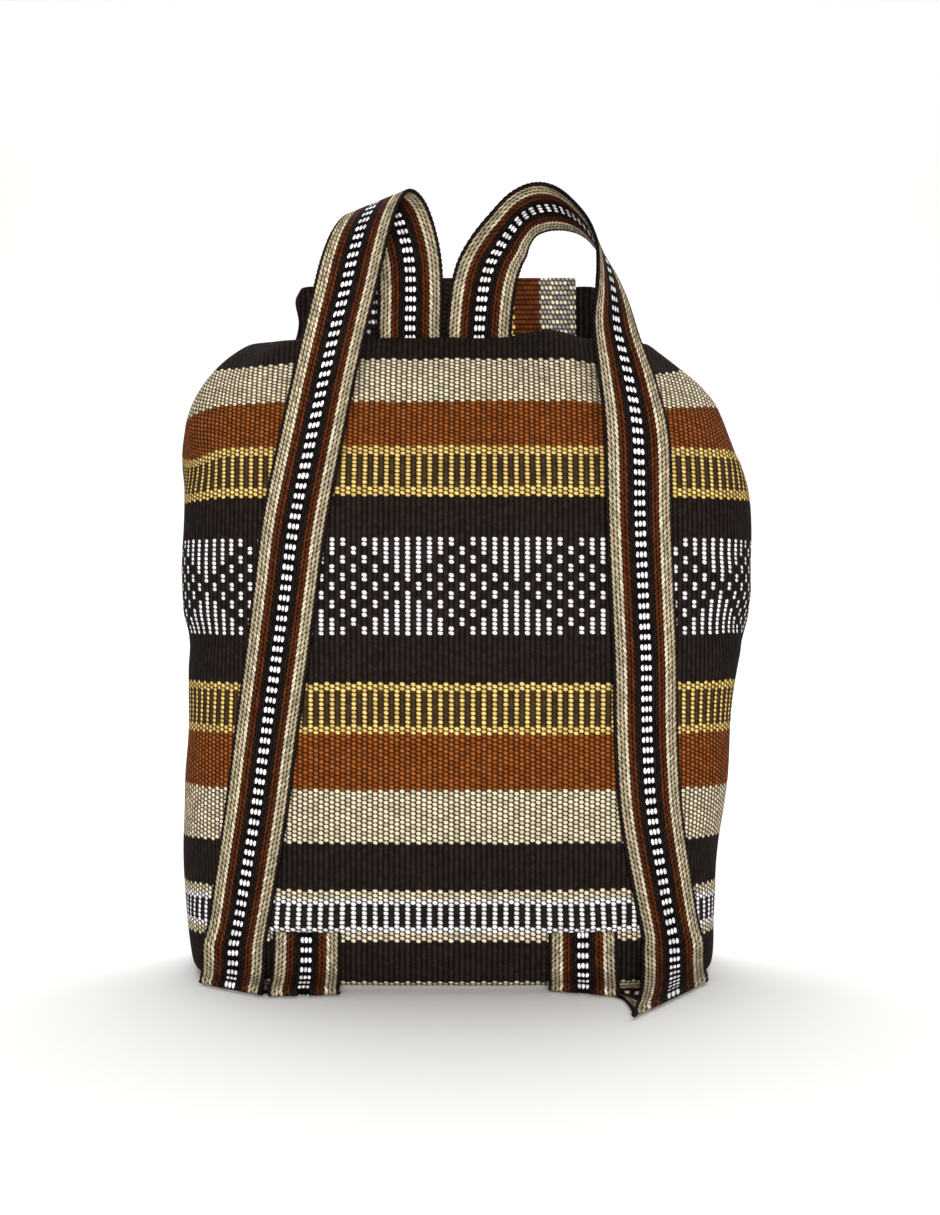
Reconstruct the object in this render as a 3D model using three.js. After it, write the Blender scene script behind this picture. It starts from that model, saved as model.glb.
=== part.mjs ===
// Woven drawstring backpack of the morral kind, standing full on its flat bottom.
// Millimetres, +Z up. The straps are on the -Y side. The origin is in the middle of the bottom.
import * as THREE from 'three';

// Sizes of the sack
const BODY_HEIGHT = 372;
const HALF_WIDTH = 169;
const HALF_DEPTH = 80;
const WALL = 2;

// Sizes of the gathered neck, which stands behind the crest and a little to the left
const NECK_RISE = 38;
const NECK_HALF_WIDTH = 96;
const NECK_HALF_DEPTH = 23;
const NECK_SHIFT = -11;
const NECK_BACK = 26;
const PLEATS = 18;
const PLEAT_DEPTH = 2.6;

// Sizes of the straps
const STRAP_WIDTH = 39;
const STRAP_THICK = 2;
const LOOP_RISE = 78;
const HANG_HEIGHT = 30;

// Sizes of the flap
const FLAP_WIDTH = 150;
const FLAP_THICK = 2;
const FLAP_SHIFT = -10;
const FLAP_DROP = 120;

// Clearance between cloth pieces that touch
const CLOTH_GAP = 0.8;

// Mesh fineness: four columns to a pleat round the sack, the length of one step along a strap and the
// steps across it, and the steps across the flap and down its hanging part
const COLUMNS = PLEATS * 4;
const ARC_SAMPLES = 720;
const RIBBON_STEP = 11;
const RIBBON_COLUMNS = 4;
const FLAP_COLUMNS = 6;
const FLAP_DROPS = 12;

// Outline of the sack, a row per height, from the floor to the crest. Heights are shares of BODY_HEIGHT,
// left and right of HALF_WIDTH, front and back of HALF_DEPTH. Corner is the power of the superellipse.
const BODY_ROWS = [
  { height: 0.0, left: 0.9, right: 0.81, front: 0.84, back: 0.82, corner: 3.4, pleat: 0 },
  { height: 0.009, left: 0.945, right: 0.845, front: 0.95, back: 0.92, corner: 3.4, pleat: 0 },
  { height: 0.035, left: 0.965, right: 0.86, front: 0.99, back: 0.96, corner: 3.4, pleat: 0 },
  { height: 0.1, left: 0.98, right: 0.865, front: 1.0, back: 0.99, corner: 3.3, pleat: 0 },
  { height: 0.2, left: 0.995, right: 0.885, front: 1.0, back: 1.0, corner: 3.1, pleat: 0 },
  { height: 0.3, left: 0.99, right: 0.915, front: 1.0, back: 1.01, corner: 3, pleat: 0 },
  { height: 0.41, left: 0.978, right: 0.928, front: 1.0, back: 1.0, corner: 3, pleat: 0 },
  { height: 0.49, left: 0.974, right: 0.95, front: 1.0, back: 0.99, corner: 3, pleat: 0 },
  { height: 0.535, left: 0.982, right: 0.975, front: 1.0, back: 0.99, corner: 2.9, pleat: 0 },
  { height: 0.57, left: 0.996, right: 0.995, front: 1.0, back: 1.0, corner: 2.8, pleat: 0 },
  { height: 0.635, left: 1.004, right: 1.0, front: 1.0, back: 1.01, corner: 2.8, pleat: 0 },
  { height: 0.7, left: 0.996, right: 1.004, front: 1.0, back: 1.01, corner: 2.8, pleat: 0 },
  { height: 0.765, left: 0.996, right: 0.991, front: 0.97, back: 0.99, corner: 2.8, pleat: 0 },
  { height: 0.83, left: 1.006, right: 0.952, front: 0.84, back: 0.95, corner: 2.7, pleat: 0 },
  { height: 0.885, left: 0.99, right: 0.905, front: 0.74, back: 0.9, corner: 2.6, pleat: 0.1 },
  { height: 0.93, left: 0.945, right: 0.835, front: 0.63, back: 0.85, corner: 2.6, pleat: 0.3 },
  { height: 0.962, left: 0.89, right: 0.755, front: 0.53, back: 0.8, corner: 2.6, pleat: 0.5 },
  { height: 0.986, left: 0.83, right: 0.69, front: 0.44, back: 0.765, corner: 2.6, pleat: 0.5 },
];

// Crest of the back panel, a fold of cloth over the strap ends, then the valley behind it
const CREST_ROWS = [
  { height: 1.0, left: 0.775, right: 0.645, front: 0.36, back: 0.735, corner: 2.7, pleat: 0.4 },
  { height: 0.996, left: 0.735, right: 0.605, front: 0.29, back: 0.715, corner: 2.8, pleat: 0.4 },
  { height: 0.976, left: 0.71, right: 0.585, front: 0.25, back: 0.7, corner: 2.8, pleat: 0.5 },
];

// Gathered neck, a row per height. Rise is a share of NECK_RISE above the crest, wide of
// NECK_HALF_WIDTH and deep of NECK_HALF_DEPTH.
const NECK_ROWS = [
  { rise: -0.3, wide: 1.08, deep: 1.12, corner: 2.8, pleat: 0.8 },
  { rise: 0.05, wide: 1.0, deep: 1.0, corner: 2.6, pleat: 1 },
  { rise: 0.4, wide: 0.97, deep: 0.93, corner: 2.5, pleat: 1 },
  { rise: 0.75, wide: 0.99, deep: 0.98, corner: 2.5, pleat: 1 },
  { rise: 0.96, wide: 0.96, deep: 0.9, corner: 2.4, pleat: 0.9 },
];

// Middle line of the left strap above the panel, from its root behind the crest to the panel.
// Across is a share of HALF_WIDTH, depth of HALF_DEPTH, rise of LOOP_RISE above the crest.
// Turn swings the strap's width about the vertical, tip raises its right edge, both in degrees.
const LEFT_LOOP = [
  { across: -0.2, depth: -0.208, rise: -0.08, turn: 0, tip: 0 },
  { across: -0.201, depth: -0.208, rise: 0.12, turn: 0, tip: 0 },
  { across: -0.199, depth: -0.2, rise: 0.34, turn: 0, tip: 0 },
  { across: -0.203, depth: -0.22, rise: 0.58, turn: 0, tip: 3 },
  { across: -0.22, depth: -0.28, rise: 0.77, turn: 0, tip: 8 },
  { across: -0.245, depth: -0.39, rise: 0.91, turn: -6, tip: 14 },
  { across: -0.272, depth: -0.52, rise: 0.965, turn: -12, tip: 18 },
  { across: -0.3, depth: -0.65, rise: 0.955, turn: -14, tip: 19 },
  { across: -0.326, depth: -0.78, rise: 0.87, turn: -12, tip: 17 },
  { across: -0.353, depth: -0.89, rise: 0.72, turn: -6, tip: 15 },
  { across: -0.378, depth: -0.96, rise: 0.52, turn: 0, tip: 13 },
  { across: -0.402, depth: -1.005, rise: 0.28, turn: 0, tip: 12 },
  { across: -0.433, depth: -1.03, rise: 0.0, turn: 0, tip: 12 },
  { across: -0.466, depth: -1.04, rise: -0.31, turn: 0, tip: 12 },
  { across: -0.503, depth: -1.038, rise: -0.68, turn: 2, tip: 11 },
];

// Middle line of the right strap above the panel, with the same columns
const RIGHT_LOOP = [
  { across: 0.039, depth: -0.208, rise: -0.08, turn: 0, tip: 0 },
  { across: 0.042, depth: -0.208, rise: 0.1, turn: 0, tip: 0 },
  { across: 0.05, depth: -0.205, rise: 0.3, turn: 2, tip: -1 },
  { across: 0.062, depth: -0.205, rise: 0.46, turn: 5, tip: -3 },
  { across: 0.083, depth: -0.215, rise: 0.6, turn: 14, tip: -6 },
  { across: 0.115, depth: -0.235, rise: 0.72, turn: 30, tip: -14 },
  { across: 0.15, depth: -0.27, rise: 0.83, turn: 48, tip: -21 },
  { across: 0.192, depth: -0.33, rise: 0.925, turn: 58, tip: -28 },
  { across: 0.243, depth: -0.41, rise: 0.965, turn: 62, tip: -33 },
  { across: 0.297, depth: -0.505, rise: 0.955, turn: 64, tip: -34 },
  { across: 0.345, depth: -0.61, rise: 0.9, turn: 68, tip: -30 },
  { across: 0.385, depth: -0.715, rise: 0.81, turn: 74, tip: -22 },
  { across: 0.418, depth: -0.81, rise: 0.7, turn: 80, tip: -13 },
  { across: 0.445, depth: -0.89, rise: 0.57, turn: 79, tip: -6 },
  { across: 0.466, depth: -0.95, rise: 0.42, turn: 70, tip: -6 },
  { across: 0.482, depth: -1.0, rise: 0.22, turn: 58, tip: -7 },
  { across: 0.493, depth: -1.04, rise: -0.04, turn: 42, tip: -8 },
  { across: 0.53, depth: -1.05, rise: -0.38, turn: 25, tip: -8 },
  { across: 0.562, depth: -1.045, rise: -0.78, turn: 10, tip: -7 },
];

// Middle lines of the straps down the panel. Height is a share of BODY_HEIGHT, across of HALF_WIDTH,
// and lift, how far the strap stands off the panel, of STRAP_WIDTH.
const LEFT_PANEL = [
  { height: 0.71, across: -0.572, lift: 0.03 },
  { height: 0.6, across: -0.605, lift: 0.015 },
  { height: 0.49, across: -0.637, lift: 0 },
  { height: 0.38, across: -0.671, lift: 0 },
  { height: 0.27, across: -0.703, lift: 0 },
  { height: 0.165, across: -0.739, lift: 0 },
  { height: 0.09, across: -0.766, lift: 0 },
];
const RIGHT_PANEL = [
  { height: 0.71, across: 0.573, lift: 0.03 },
  { height: 0.6, across: 0.583, lift: 0.02 },
  { height: 0.49, across: 0.594, lift: 0 },
  { height: 0.38, across: 0.598, lift: 0 },
  { height: 0.27, across: 0.613, lift: 0 },
  { height: 0.165, across: 0.65, lift: 0 },
  { height: 0.09, across: 0.68, lift: 0 },
];

// Feet of the straps, from the strap that comes down to the sewn end that goes up: both bow forward
// to a fold on the floor, and the cloth between the two folds lies flat under them. Far and near are the
// strap's edges. Out is their place outward from the pivot, and ahead their place in front of the panel.
// High is above the floor. All are shares of STRAP_WIDTH.
const LEFT_FOOT = [
  { farOut: 1.04, farAhead: 0, nearOut: 0.04, nearAhead: 0.03, high: 0.58 },
  { farOut: 1.04, farAhead: 0.02, nearOut: 0.04, nearAhead: 0.13, high: 0.34 },
  { farOut: 1.04, farAhead: 0.05, nearOut: 0.04, nearAhead: 0.3, high: 0.2 },
  { farOut: 1.04, farAhead: 0.1, nearOut: 0.04, nearAhead: 0.5, high: 0.142 },
  { farOut: 1.04, farAhead: 0.16, nearOut: 0.04, nearAhead: 0.6, high: 0.122 },
  { farOut: 1.04, farAhead: 0.21, nearOut: 0.04, nearAhead: 0.67, high: 0.085 },
  { farOut: 1.03, farAhead: 0.16, nearOut: 0.04, nearAhead: 0.61, high: 0.047 },
  { farOut: 0.75, farAhead: 0.05, nearOut: 0.03, nearAhead: 0.5, high: 0.047 },
  { farOut: 0.4, farAhead: 0, nearOut: 0.01, nearAhead: 0.46, high: 0.047 },
  { farOut: 0, farAhead: -0.01, nearOut: 0, nearAhead: 0.45, high: 0.047 },
  { farOut: -0.4, farAhead: 0, nearOut: -0.01, nearAhead: 0.47, high: 0.047 },
  { farOut: -0.75, farAhead: 0.12, nearOut: -0.03, nearAhead: 0.55, high: 0.047 },
  { farOut: -1.03, farAhead: 0.44, nearOut: -0.04, nearAhead: 0.68, high: 0.047 },
  { farOut: -1.04, farAhead: 0.49, nearOut: -0.04, nearAhead: 0.74, high: 0.085 },
  { farOut: -1.04, farAhead: 0.43, nearOut: -0.04, nearAhead: 0.67, high: 0.122 },
  { farOut: -1.04, farAhead: 0.34, nearOut: -0.04, nearAhead: 0.55, high: 0.142 },
  { farOut: -1.04, farAhead: 0.2, nearOut: -0.04, nearAhead: 0.32, high: 0.2 },
  { farOut: -1.04, farAhead: 0.09, nearOut: -0.04, nearAhead: 0.15, high: 0.34 },
  { farOut: -1.04, farAhead: 0.02, nearOut: -0.04, nearAhead: 0.03, high: 0.58 },
];
const RIGHT_FOOT = [
  { farOut: 1.16, farAhead: 0, nearOut: 0.16, nearAhead: 0.1, high: 0.58 },
  { farOut: 1.16, farAhead: 0.02, nearOut: 0.13, nearAhead: 0.5, high: 0.34 },
  { farOut: 1.17, farAhead: 0.05, nearOut: 0.06, nearAhead: 1.1, high: 0.2 },
  { farOut: 1.18, farAhead: 0.1, nearOut: -0.04, nearAhead: 1.7, high: 0.142 },
  { farOut: 1.18, farAhead: 0.15, nearOut: -0.11, nearAhead: 1.94, high: 0.122 },
  { farOut: 1.18, farAhead: 0.2, nearOut: -0.13, nearAhead: 2.04, high: 0.085 },
  { farOut: 1.16, farAhead: 0.15, nearOut: -0.12, nearAhead: 1.96, high: 0.047 },
  { farOut: 0.9, farAhead: 0.1, nearOut: -0.1, nearAhead: 1.8, high: 0.047 },
  { farOut: 0.5, farAhead: 0.05, nearOut: -0.1, nearAhead: 1.5, high: 0.047 },
  { farOut: 0, farAhead: 0.02, nearOut: -0.12, nearAhead: 1.15, high: 0.047 },
  { farOut: -0.5, farAhead: 0.05, nearOut: -0.14, nearAhead: 0.85, high: 0.047 },
  { farOut: -0.9, farAhead: 0.1, nearOut: -0.16, nearAhead: 0.7, high: 0.047 },
  { farOut: -1.15, farAhead: 0.15, nearOut: -0.17, nearAhead: 0.68, high: 0.047 },
  { farOut: -1.16, farAhead: 0.2, nearOut: -0.18, nearAhead: 0.74, high: 0.085 },
  { farOut: -1.16, farAhead: 0.15, nearOut: -0.18, nearAhead: 0.67, high: 0.122 },
  { farOut: -1.16, farAhead: 0.1, nearOut: -0.17, nearAhead: 0.54, high: 0.142 },
  { farOut: -1.16, farAhead: 0.05, nearOut: -0.16, nearAhead: 0.3, high: 0.2 },
  { farOut: -1.16, farAhead: 0.02, nearOut: -0.16, nearAhead: 0.14, high: 0.34 },
  { farOut: -1.16, farAhead: 0, nearOut: -0.16, nearAhead: 0.03, high: 0.58 },
];

// Where each foot turns, across the panel, and how high the sewn end reaches up it
const LEFT_PIVOT = -0.655;
const RIGHT_PIVOT = 0.537;
const END_HEIGHT = 0.086;

// Middle line of the flap over the neck. Over runs from the neck's near side, 0, to its far side, 1, and
// aside moves the row out from there. Rise runs from the crest, 0, to the neck's rim, 1, and above lifts
// the row from there. Aside and above are in FLAP_THICK.
const FLAP_ROWS = [
  { over: 0, aside: -4, rise: -0.08, above: 0 },
  { over: 0, aside: -3, rise: 0.2, above: 0 },
  { over: 0, aside: -2, rise: 0.5, above: 0 },
  { over: 0, aside: -1, rise: 0.8, above: 0 },
  { over: 0, aside: 0, rise: 0.97, above: 0 },
  { over: 0, aside: 1.5, rise: 1, above: 0.5 },
  { over: 0.3, aside: 0, rise: 1, above: 1 },
  { over: 0.55, aside: 0, rise: 1, above: 1 },
  { over: 0.8, aside: 0, rise: 1, above: 0.5 },
  { over: 1, aside: -0.25, rise: 1, above: -0.5 },
  { over: 1, aside: 0.5, rise: 0.8, above: 0 },
  { over: 1, aside: 2, rise: 0.6, above: 0 },
  { over: 1, aside: 3, rise: 0.3, above: 0 },
];

// Share of the hanging part in which the flap comes down onto the far side of the sack
const FLAP_SETTLE = 0.25;

const degrees = Math.PI / 180;
const mix = (a, b, t) => a + (b - a) * t;
const signedPower = (v, p) => Math.sign(v) * Math.abs(v) ** p;

// Shares from 0 to 1 in a number of equal steps
const sharesOf = (steps) => Array.from({ length: steps + 1 }, (_, i) => i / steps);

// Ring of the sack at one row: centre and half sizes in millimetres
function bodyRing(row) {
  const left = -row.left * HALF_WIDTH;
  const right = row.right * HALF_WIDTH;
  const front = -row.front * HALF_DEPTH;
  const back = row.back * HALF_DEPTH;
  return {
    cx: (left + right) / 2,
    cy: (front + back) / 2,
    a: (right - left) / 2,
    b: (back - front) / 2,
    z: row.height * BODY_HEIGHT,
    corner: row.corner,
    pleat: row.pleat,
  };
}

// Ring of the neck at one row
function neckRing(row) {
  return {
    cx: NECK_SHIFT,
    cy: NECK_BACK,
    a: row.wide * NECK_HALF_WIDTH,
    b: row.deep * NECK_HALF_DEPTH,
    z: BODY_HEIGHT + row.rise * NECK_RISE,
    corner: row.corner,
    pleat: row.pleat,
  };
}

// Point of a ring's superellipse at an angle
function ringPoint(ring, angle) {
  return new THREE.Vector2(
    ring.cx + ring.a * signedPower(Math.cos(angle), 2 / ring.corner),
    ring.cy + ring.b * signedPower(Math.sin(angle), 2 / ring.corner),
  );
}

// Points of a ring, equally spaced along it from the middle of its front, pleated about its outline
function ringOutline(ring) {
  const samples = [];
  const lengths = [0];
  for (let i = 0; i <= ARC_SAMPLES; i += 1) {
    samples.push(ringPoint(ring, (i / ARC_SAMPLES) * 2 * Math.PI - Math.PI / 2));
    if (i > 0) lengths.push(lengths[i - 1] + samples[i].distanceTo(samples[i - 1]));
  }
  const points = [];
  let at = 0;
  for (let k = 0; k < COLUMNS; k += 1) {
    const wanted = (k / COLUMNS) * lengths[ARC_SAMPLES];
    while (lengths[at + 1] < wanted) at += 1;
    const along = samples[at + 1].clone().sub(samples[at]);
    const share = (wanted - lengths[at]) / (lengths[at + 1] - lengths[at]);
    const point = samples[at].clone().addScaledVector(along, share);
    const outward = new THREE.Vector2(along.y, -along.x).normalize();
    const wave = Math.cos((2 * Math.PI * PLEATS * k) / COLUMNS);
    point.addScaledVector(outward, wave * ring.pleat * PLEAT_DEPTH);
    points.push(new THREE.Vector3(point.x, point.y, ring.z));
  }
  return points;
}

// Row of the sack at any height, between its table rows
function rowAt(height) {
  const last = BODY_ROWS.length - 1;
  const next = Math.max(1, BODY_ROWS.findIndex((row) => row.height >= height));
  const upper = BODY_ROWS[height > BODY_ROWS[last].height ? last : next];
  const lower = BODY_ROWS[(height > BODY_ROWS[last].height ? last : next) - 1];
  const t = (height - lower.height) / (upper.height - lower.height);
  const row = {};
  for (const key of Object.keys(lower)) row[key] = mix(lower[key], upper[key], t);
  return row;
}

// Y of the sack's surface at x and z: side -1 is the strap panel, side 1 the far side
function surfaceY(x, z, side) {
  const ring = bodyRing(rowAt(z / BODY_HEIGHT));
  const across = Math.min(0.98, Math.abs(x - ring.cx) / ring.a);
  return ring.cy + side * ring.b * (1 - across ** ring.corner) ** (1 / ring.corner);
}

// Mesh from a list of points and triangles, with flat faces
function meshFrom(name, points, triangles, material) {
  const geometry = new THREE.BufferGeometry();
  geometry.setAttribute('position', new THREE.Float32BufferAttribute(points.flatMap((p) => p.toArray()), 3));
  geometry.setIndex(triangles);
  geometry.computeVertexNormals();
  const mesh = new THREE.Mesh(geometry, material);
  mesh.name = name;
  return mesh;
}

// Outward normals of rings stacked from the bottom up, from the neighbouring points
function ringNormals(rings) {
  return rings.map((ring, r) => ring.map((point, k) => {
    const around = ring[(k + 1) % COLUMNS].clone().sub(ring[(k + COLUMNS - 1) % COLUMNS]);
    const above = rings[Math.min(r + 1, rings.length - 1)][k];
    const below = rings[Math.max(r - 1, 0)][k];
    return around.cross(above.clone().sub(below)).normalize();
  }));
}

// Wall between an outer skin and an inner skin WALL inside it, open at the neck
function buildBody(material) {
  const rows = [...BODY_ROWS, ...CREST_ROWS].map(bodyRing).concat(NECK_ROWS.map(neckRing));
  const outer = rows.map(ringOutline);
  const normals = ringNormals(outer);
  const inner = outer.map((ring, r) => ring.map((point, k) => {
    const inside = point.clone().addScaledVector(normals[r][k], -WALL);
    if (r === 0) inside.z = WALL;
    if (r === outer.length - 1) inside.z = point.z;
    return inside;
  }));
  // the skin rises outside, crosses the rim and goes down inside
  const skins = [...outer, ...inner.reverse()];
  const points = skins.flat();
  const triangles = [];
  for (let r = 0; r + 1 < skins.length; r += 1) {
    for (let k = 0; k < COLUMNS; k += 1) {
      const a = r * COLUMNS + k;
      const b = r * COLUMNS + ((k + 1) % COLUMNS);
      triangles.push(a, b, b + COLUMNS, a, b + COLUMNS, a + COLUMNS);
    }
  }
  // the bottoms are flat strips between the front half and the back half of their rings
  const innerStart = points.length - COLUMNS;
  for (let k = 0; k < COLUMNS / 2; k += 1) {
    const left = (COLUMNS - k) % COLUMNS;
    const nextLeft = COLUMNS - k - 1;
    if (k > 0) {
      triangles.push(k, left, k + 1);
      triangles.push(innerStart + k, innerStart + k + 1, innerStart + left);
    }
    if (nextLeft !== k + 1) {
      triangles.push(left, nextLeft, k + 1);
      triangles.push(innerStart + left, innerStart + k + 1, innerStart + nextLeft);
    }
  }
  return meshFrom('bag_body', points, triangles, material);
}

// Closed sheet of cloth from a grid of points, half its thickness to each side
function sheetSolid(name, grid, thickness, material) {
  const rows = grid.length;
  const columns = grid[0].length;
  const faces = [[], []];
  for (let i = 0; i < rows; i += 1) {
    for (let j = 0; j < columns; j += 1) {
      const along = grid[Math.min(i + 1, rows - 1)][j].clone().sub(grid[Math.max(i - 1, 0)][j]);
      const across = grid[i][Math.min(j + 1, columns - 1)].clone().sub(grid[i][Math.max(j - 1, 0)]);
      const normal = along.cross(across).normalize();
      faces[0].push(grid[i][j].clone().addScaledVector(normal, thickness / 2));
      faces[1].push(grid[i][j].clone().addScaledVector(normal, -thickness / 2));
    }
  }
  const count = rows * columns;
  const triangles = [];
  const quad = (a, b, c, d) => triangles.push(a, b, c, a, c, d);
  for (let i = 0; i + 1 < rows; i += 1) {
    for (let j = 0; j + 1 < columns; j += 1) {
      const a = i * columns + j;
      const b = a + columns;
      quad(a, b, b + 1, a + 1);
      quad(count + a, count + a + 1, count + b + 1, count + b);
    }
    const first = i * columns;
    const end = first + columns - 1;
    quad(first, count + first, count + first + columns, first + columns);
    quad(end, end + columns, count + end + columns, count + end);
  }
  for (let j = 0; j + 1 < columns; j += 1) {
    const last = (rows - 1) * columns + j;
    quad(j, j + 1, count + j + 1, count + j);
    quad(last, count + last, count + last + 1, last + 1);
  }
  return meshFrom(name, [...faces[0], ...faces[1]], triangles, material);
}

// Both edges of a strap at a free row of its loop
function loopEdges(row) {
  const centre = new THREE.Vector3(
    row.across * HALF_WIDTH,
    row.depth * HALF_DEPTH,
    BODY_HEIGHT + row.rise * LOOP_RISE,
  );
  const wide = new THREE.Vector3(
    Math.cos(row.tip * degrees) * Math.cos(row.turn * degrees),
    Math.cos(row.tip * degrees) * Math.sin(row.turn * degrees),
    Math.sin(row.tip * degrees),
  ).multiplyScalar(STRAP_WIDTH / 2);
  return [centre.clone().sub(wide), centre.clone().add(wide)];
}

// Middle of the strap's thickness on the panel, at x and z
const strapY = (x, z) => surfaceY(x, z, -1) - CLOTH_GAP - STRAP_THICK / 2;

// The same near the floor at x, where the strap hangs straight down past the rounded bottom edge: its
// flat width lies along the panel's tangent at the strap's own middle
function hangY(x, middle) {
  const probe = STRAP_WIDTH / 4;
  const slope = (strapY(middle + probe, HANG_HEIGHT) - strapY(middle - probe, HANG_HEIGHT)) / (2 * probe);
  return strapY(middle, HANG_HEIGHT) + slope * (x - middle);
}

// Both edges of a strap on the panel: its width lies along the panel's tangent, square to its slope
function panelEdges(row, slope) {
  const x = row.across * HALF_WIDTH;
  const z = row.height * BODY_HEIGHT;
  const probe = STRAP_WIDTH / 4;
  const wide = new THREE.Vector3(2 * probe, strapY(x + probe, z) - strapY(x - probe, z), 0).normalize();
  wide.z = -slope;
  wide.normalize().multiplyScalar(STRAP_WIDTH / 2);
  const centre = new THREE.Vector3(x, strapY(x, z) - row.lift * STRAP_WIDTH, z);
  return [centre.clone().sub(wide), centre.clone().add(wide)];
}

// Both edges of a strap at one row of its foot. Each leg hangs along the panel's tangent at its middle,
// and the cloth under the folds runs from the one leg's line to the other's.
function footEdges(row, foot, pivot, outward) {
  const place = (out) => pivot * HALF_WIDTH + outward * out * STRAP_WIDTH;
  const downLeg = place((foot[0].farOut + foot[0].nearOut) / 2);
  const last = foot[foot.length - 1];
  const upLeg = place((last.farOut + last.nearOut) / 2);
  const share = (foot[0].farOut - row.farOut) / (foot[0].farOut - last.farOut);
  const edge = (out, ahead) => {
    const x = place(out);
    const hang = mix(hangY(x, downLeg), hangY(x, upLeg), Math.min(1, Math.max(0, share)));
    return new THREE.Vector3(x, hang - ahead * STRAP_WIDTH, row.high * STRAP_WIDTH);
  };
  return [edge(row.farOut, row.farAhead), edge(row.nearOut, row.nearAhead)];
}

// Strap from its root behind the crest to its sewn end, as pairs of edge points: the edge that is on the
// outer side of the bag first
function buildStrap(name, loop, panel, foot, pivot, outward, material) {
  const pairs = loop.map(loopEdges);
  for (let i = 0; i < panel.length; i += 1) {
    const before = panel[Math.max(i - 1, 0)];
    const after = panel[Math.min(i + 1, panel.length - 1)];
    const run = (after.across - before.across) * HALF_WIDTH;
    const drop = (before.height - after.height) * BODY_HEIGHT;
    pairs.push(panelEdges(panel[i], -run / drop));
  }
  if (outward > 0) pairs.forEach((pair) => pair.reverse());
  foot.forEach((row) => pairs.push(footEdges(row, foot, pivot, outward)));
  // the sewn end rises straight up the panel from the foot
  const last = foot[foot.length - 1];
  const end = { ...last, nearAhead: last.farAhead, high: (END_HEIGHT * BODY_HEIGHT) / STRAP_WIDTH };
  pairs.push(footEdges(end, foot, pivot, outward));
  const outerEdge = new THREE.CatmullRomCurve3(pairs.map((pair) => pair[0]), false, 'catmullrom');
  const innerEdge = new THREE.CatmullRomCurve3(pairs.map((pair) => pair[1]), false, 'catmullrom');
  const grid = [];
  for (let i = 0; i + 1 < pairs.length; i += 1) {
    const length = Math.max(pairs[i][0].distanceTo(pairs[i + 1][0]), pairs[i][1].distanceTo(pairs[i + 1][1]));
    const steps = Math.max(1, Math.round(length / RIBBON_STEP));
    for (let s = 0; s < steps; s += 1) grid.push((i + s / steps) / (pairs.length - 1));
  }
  grid.push(1);
  const across = sharesOf(RIBBON_COLUMNS);
  const points = grid.map((t) => {
    const outer = outerEdge.getPoint(t);
    const inner = innerEdge.getPoint(t);
    return across.map((share) => outer.clone().lerp(inner, share));
  });
  if (outward > 0) points.forEach((row) => row.reverse());
  return sheetSolid(name, points, STRAP_THICK, material);
}

// Flap from its root in the valley, over the neck and down the far side of the sack
function buildFlap(material) {
  const lift = FLAP_THICK / 2 + CLOTH_GAP;
  const neckTop = BODY_HEIGHT + NECK_ROWS[NECK_ROWS.length - 1].rise * NECK_RISE + lift;
  const neckFront = NECK_BACK - NECK_HALF_DEPTH - PLEAT_DEPTH - lift;
  const neckBack = NECK_BACK + NECK_HALF_DEPTH + PLEAT_DEPTH + lift;
  const path = FLAP_ROWS.map((row) => new THREE.Vector3(
    0,
    mix(neckFront, neckBack, row.over) + row.aside * FLAP_THICK,
    mix(BODY_HEIGHT, neckTop, row.rise) + row.above * FLAP_THICK,
  ));
  const curve = new THREE.CatmullRomCurve3(path, false, 'catmullrom');
  const rows = curve.getPoints((path.length - 1) * 2);
  const across = sharesOf(FLAP_COLUMNS).map((share) => FLAP_SHIFT + FLAP_WIDTH * (share - 0.5));
  const grid = rows.map((row) => across.map((x) => new THREE.Vector3(x, row.y, row.z)));
  // below the neck the flap follows the far side
  const end = rows[rows.length - 1];
  const low = BODY_HEIGHT - FLAP_DROP;
  for (const share of sharesOf(FLAP_DROPS).slice(1)) {
    const z = mix(end.z, low, share);
    const settle = Math.min(1, share / FLAP_SETTLE);
    grid.push(across.map((x) => {
      const onBody = surfaceY(x, z, 1) + lift + PLEAT_DEPTH * rowAt(z / BODY_HEIGHT).pleat;
      return new THREE.Vector3(x, mix(Math.max(end.y, onBody), onBody, settle), z);
    }));
  }
  return sheetSolid('top_flap', grid, FLAP_THICK, material);
}

const blackWool = new THREE.MeshStandardMaterial({ color: 0x2a211c, roughness: 0.9, metalness: 0 });
const rustWeave = new THREE.MeshStandardMaterial({ color: 0x7a431f, roughness: 0.9, metalness: 0 });
const creamWeave = new THREE.MeshStandardMaterial({ color: 0xc9bb98, roughness: 0.9, metalness: 0 });

const bag = new THREE.Group();
bag.add(buildBody(blackWool));
bag.add(buildFlap(rustWeave));
bag.add(buildStrap('strap_left', LEFT_LOOP, LEFT_PANEL, LEFT_FOOT, LEFT_PIVOT, -1, creamWeave));
bag.add(buildStrap('strap_right', RIGHT_LOOP, RIGHT_PANEL, RIGHT_FOOT, RIGHT_PIVOT, 1, creamWeave));

export default bag;
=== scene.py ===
"""Woven drawstring backpack of the morral kind, standing full on its flat bottom.

Lengths are millimetres up to make_piece, which turns them to metres. +Z is up and the straps are on the
-Y side. Tables repeat the frame's own sections, with the same named columns.
"""

import math

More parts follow.
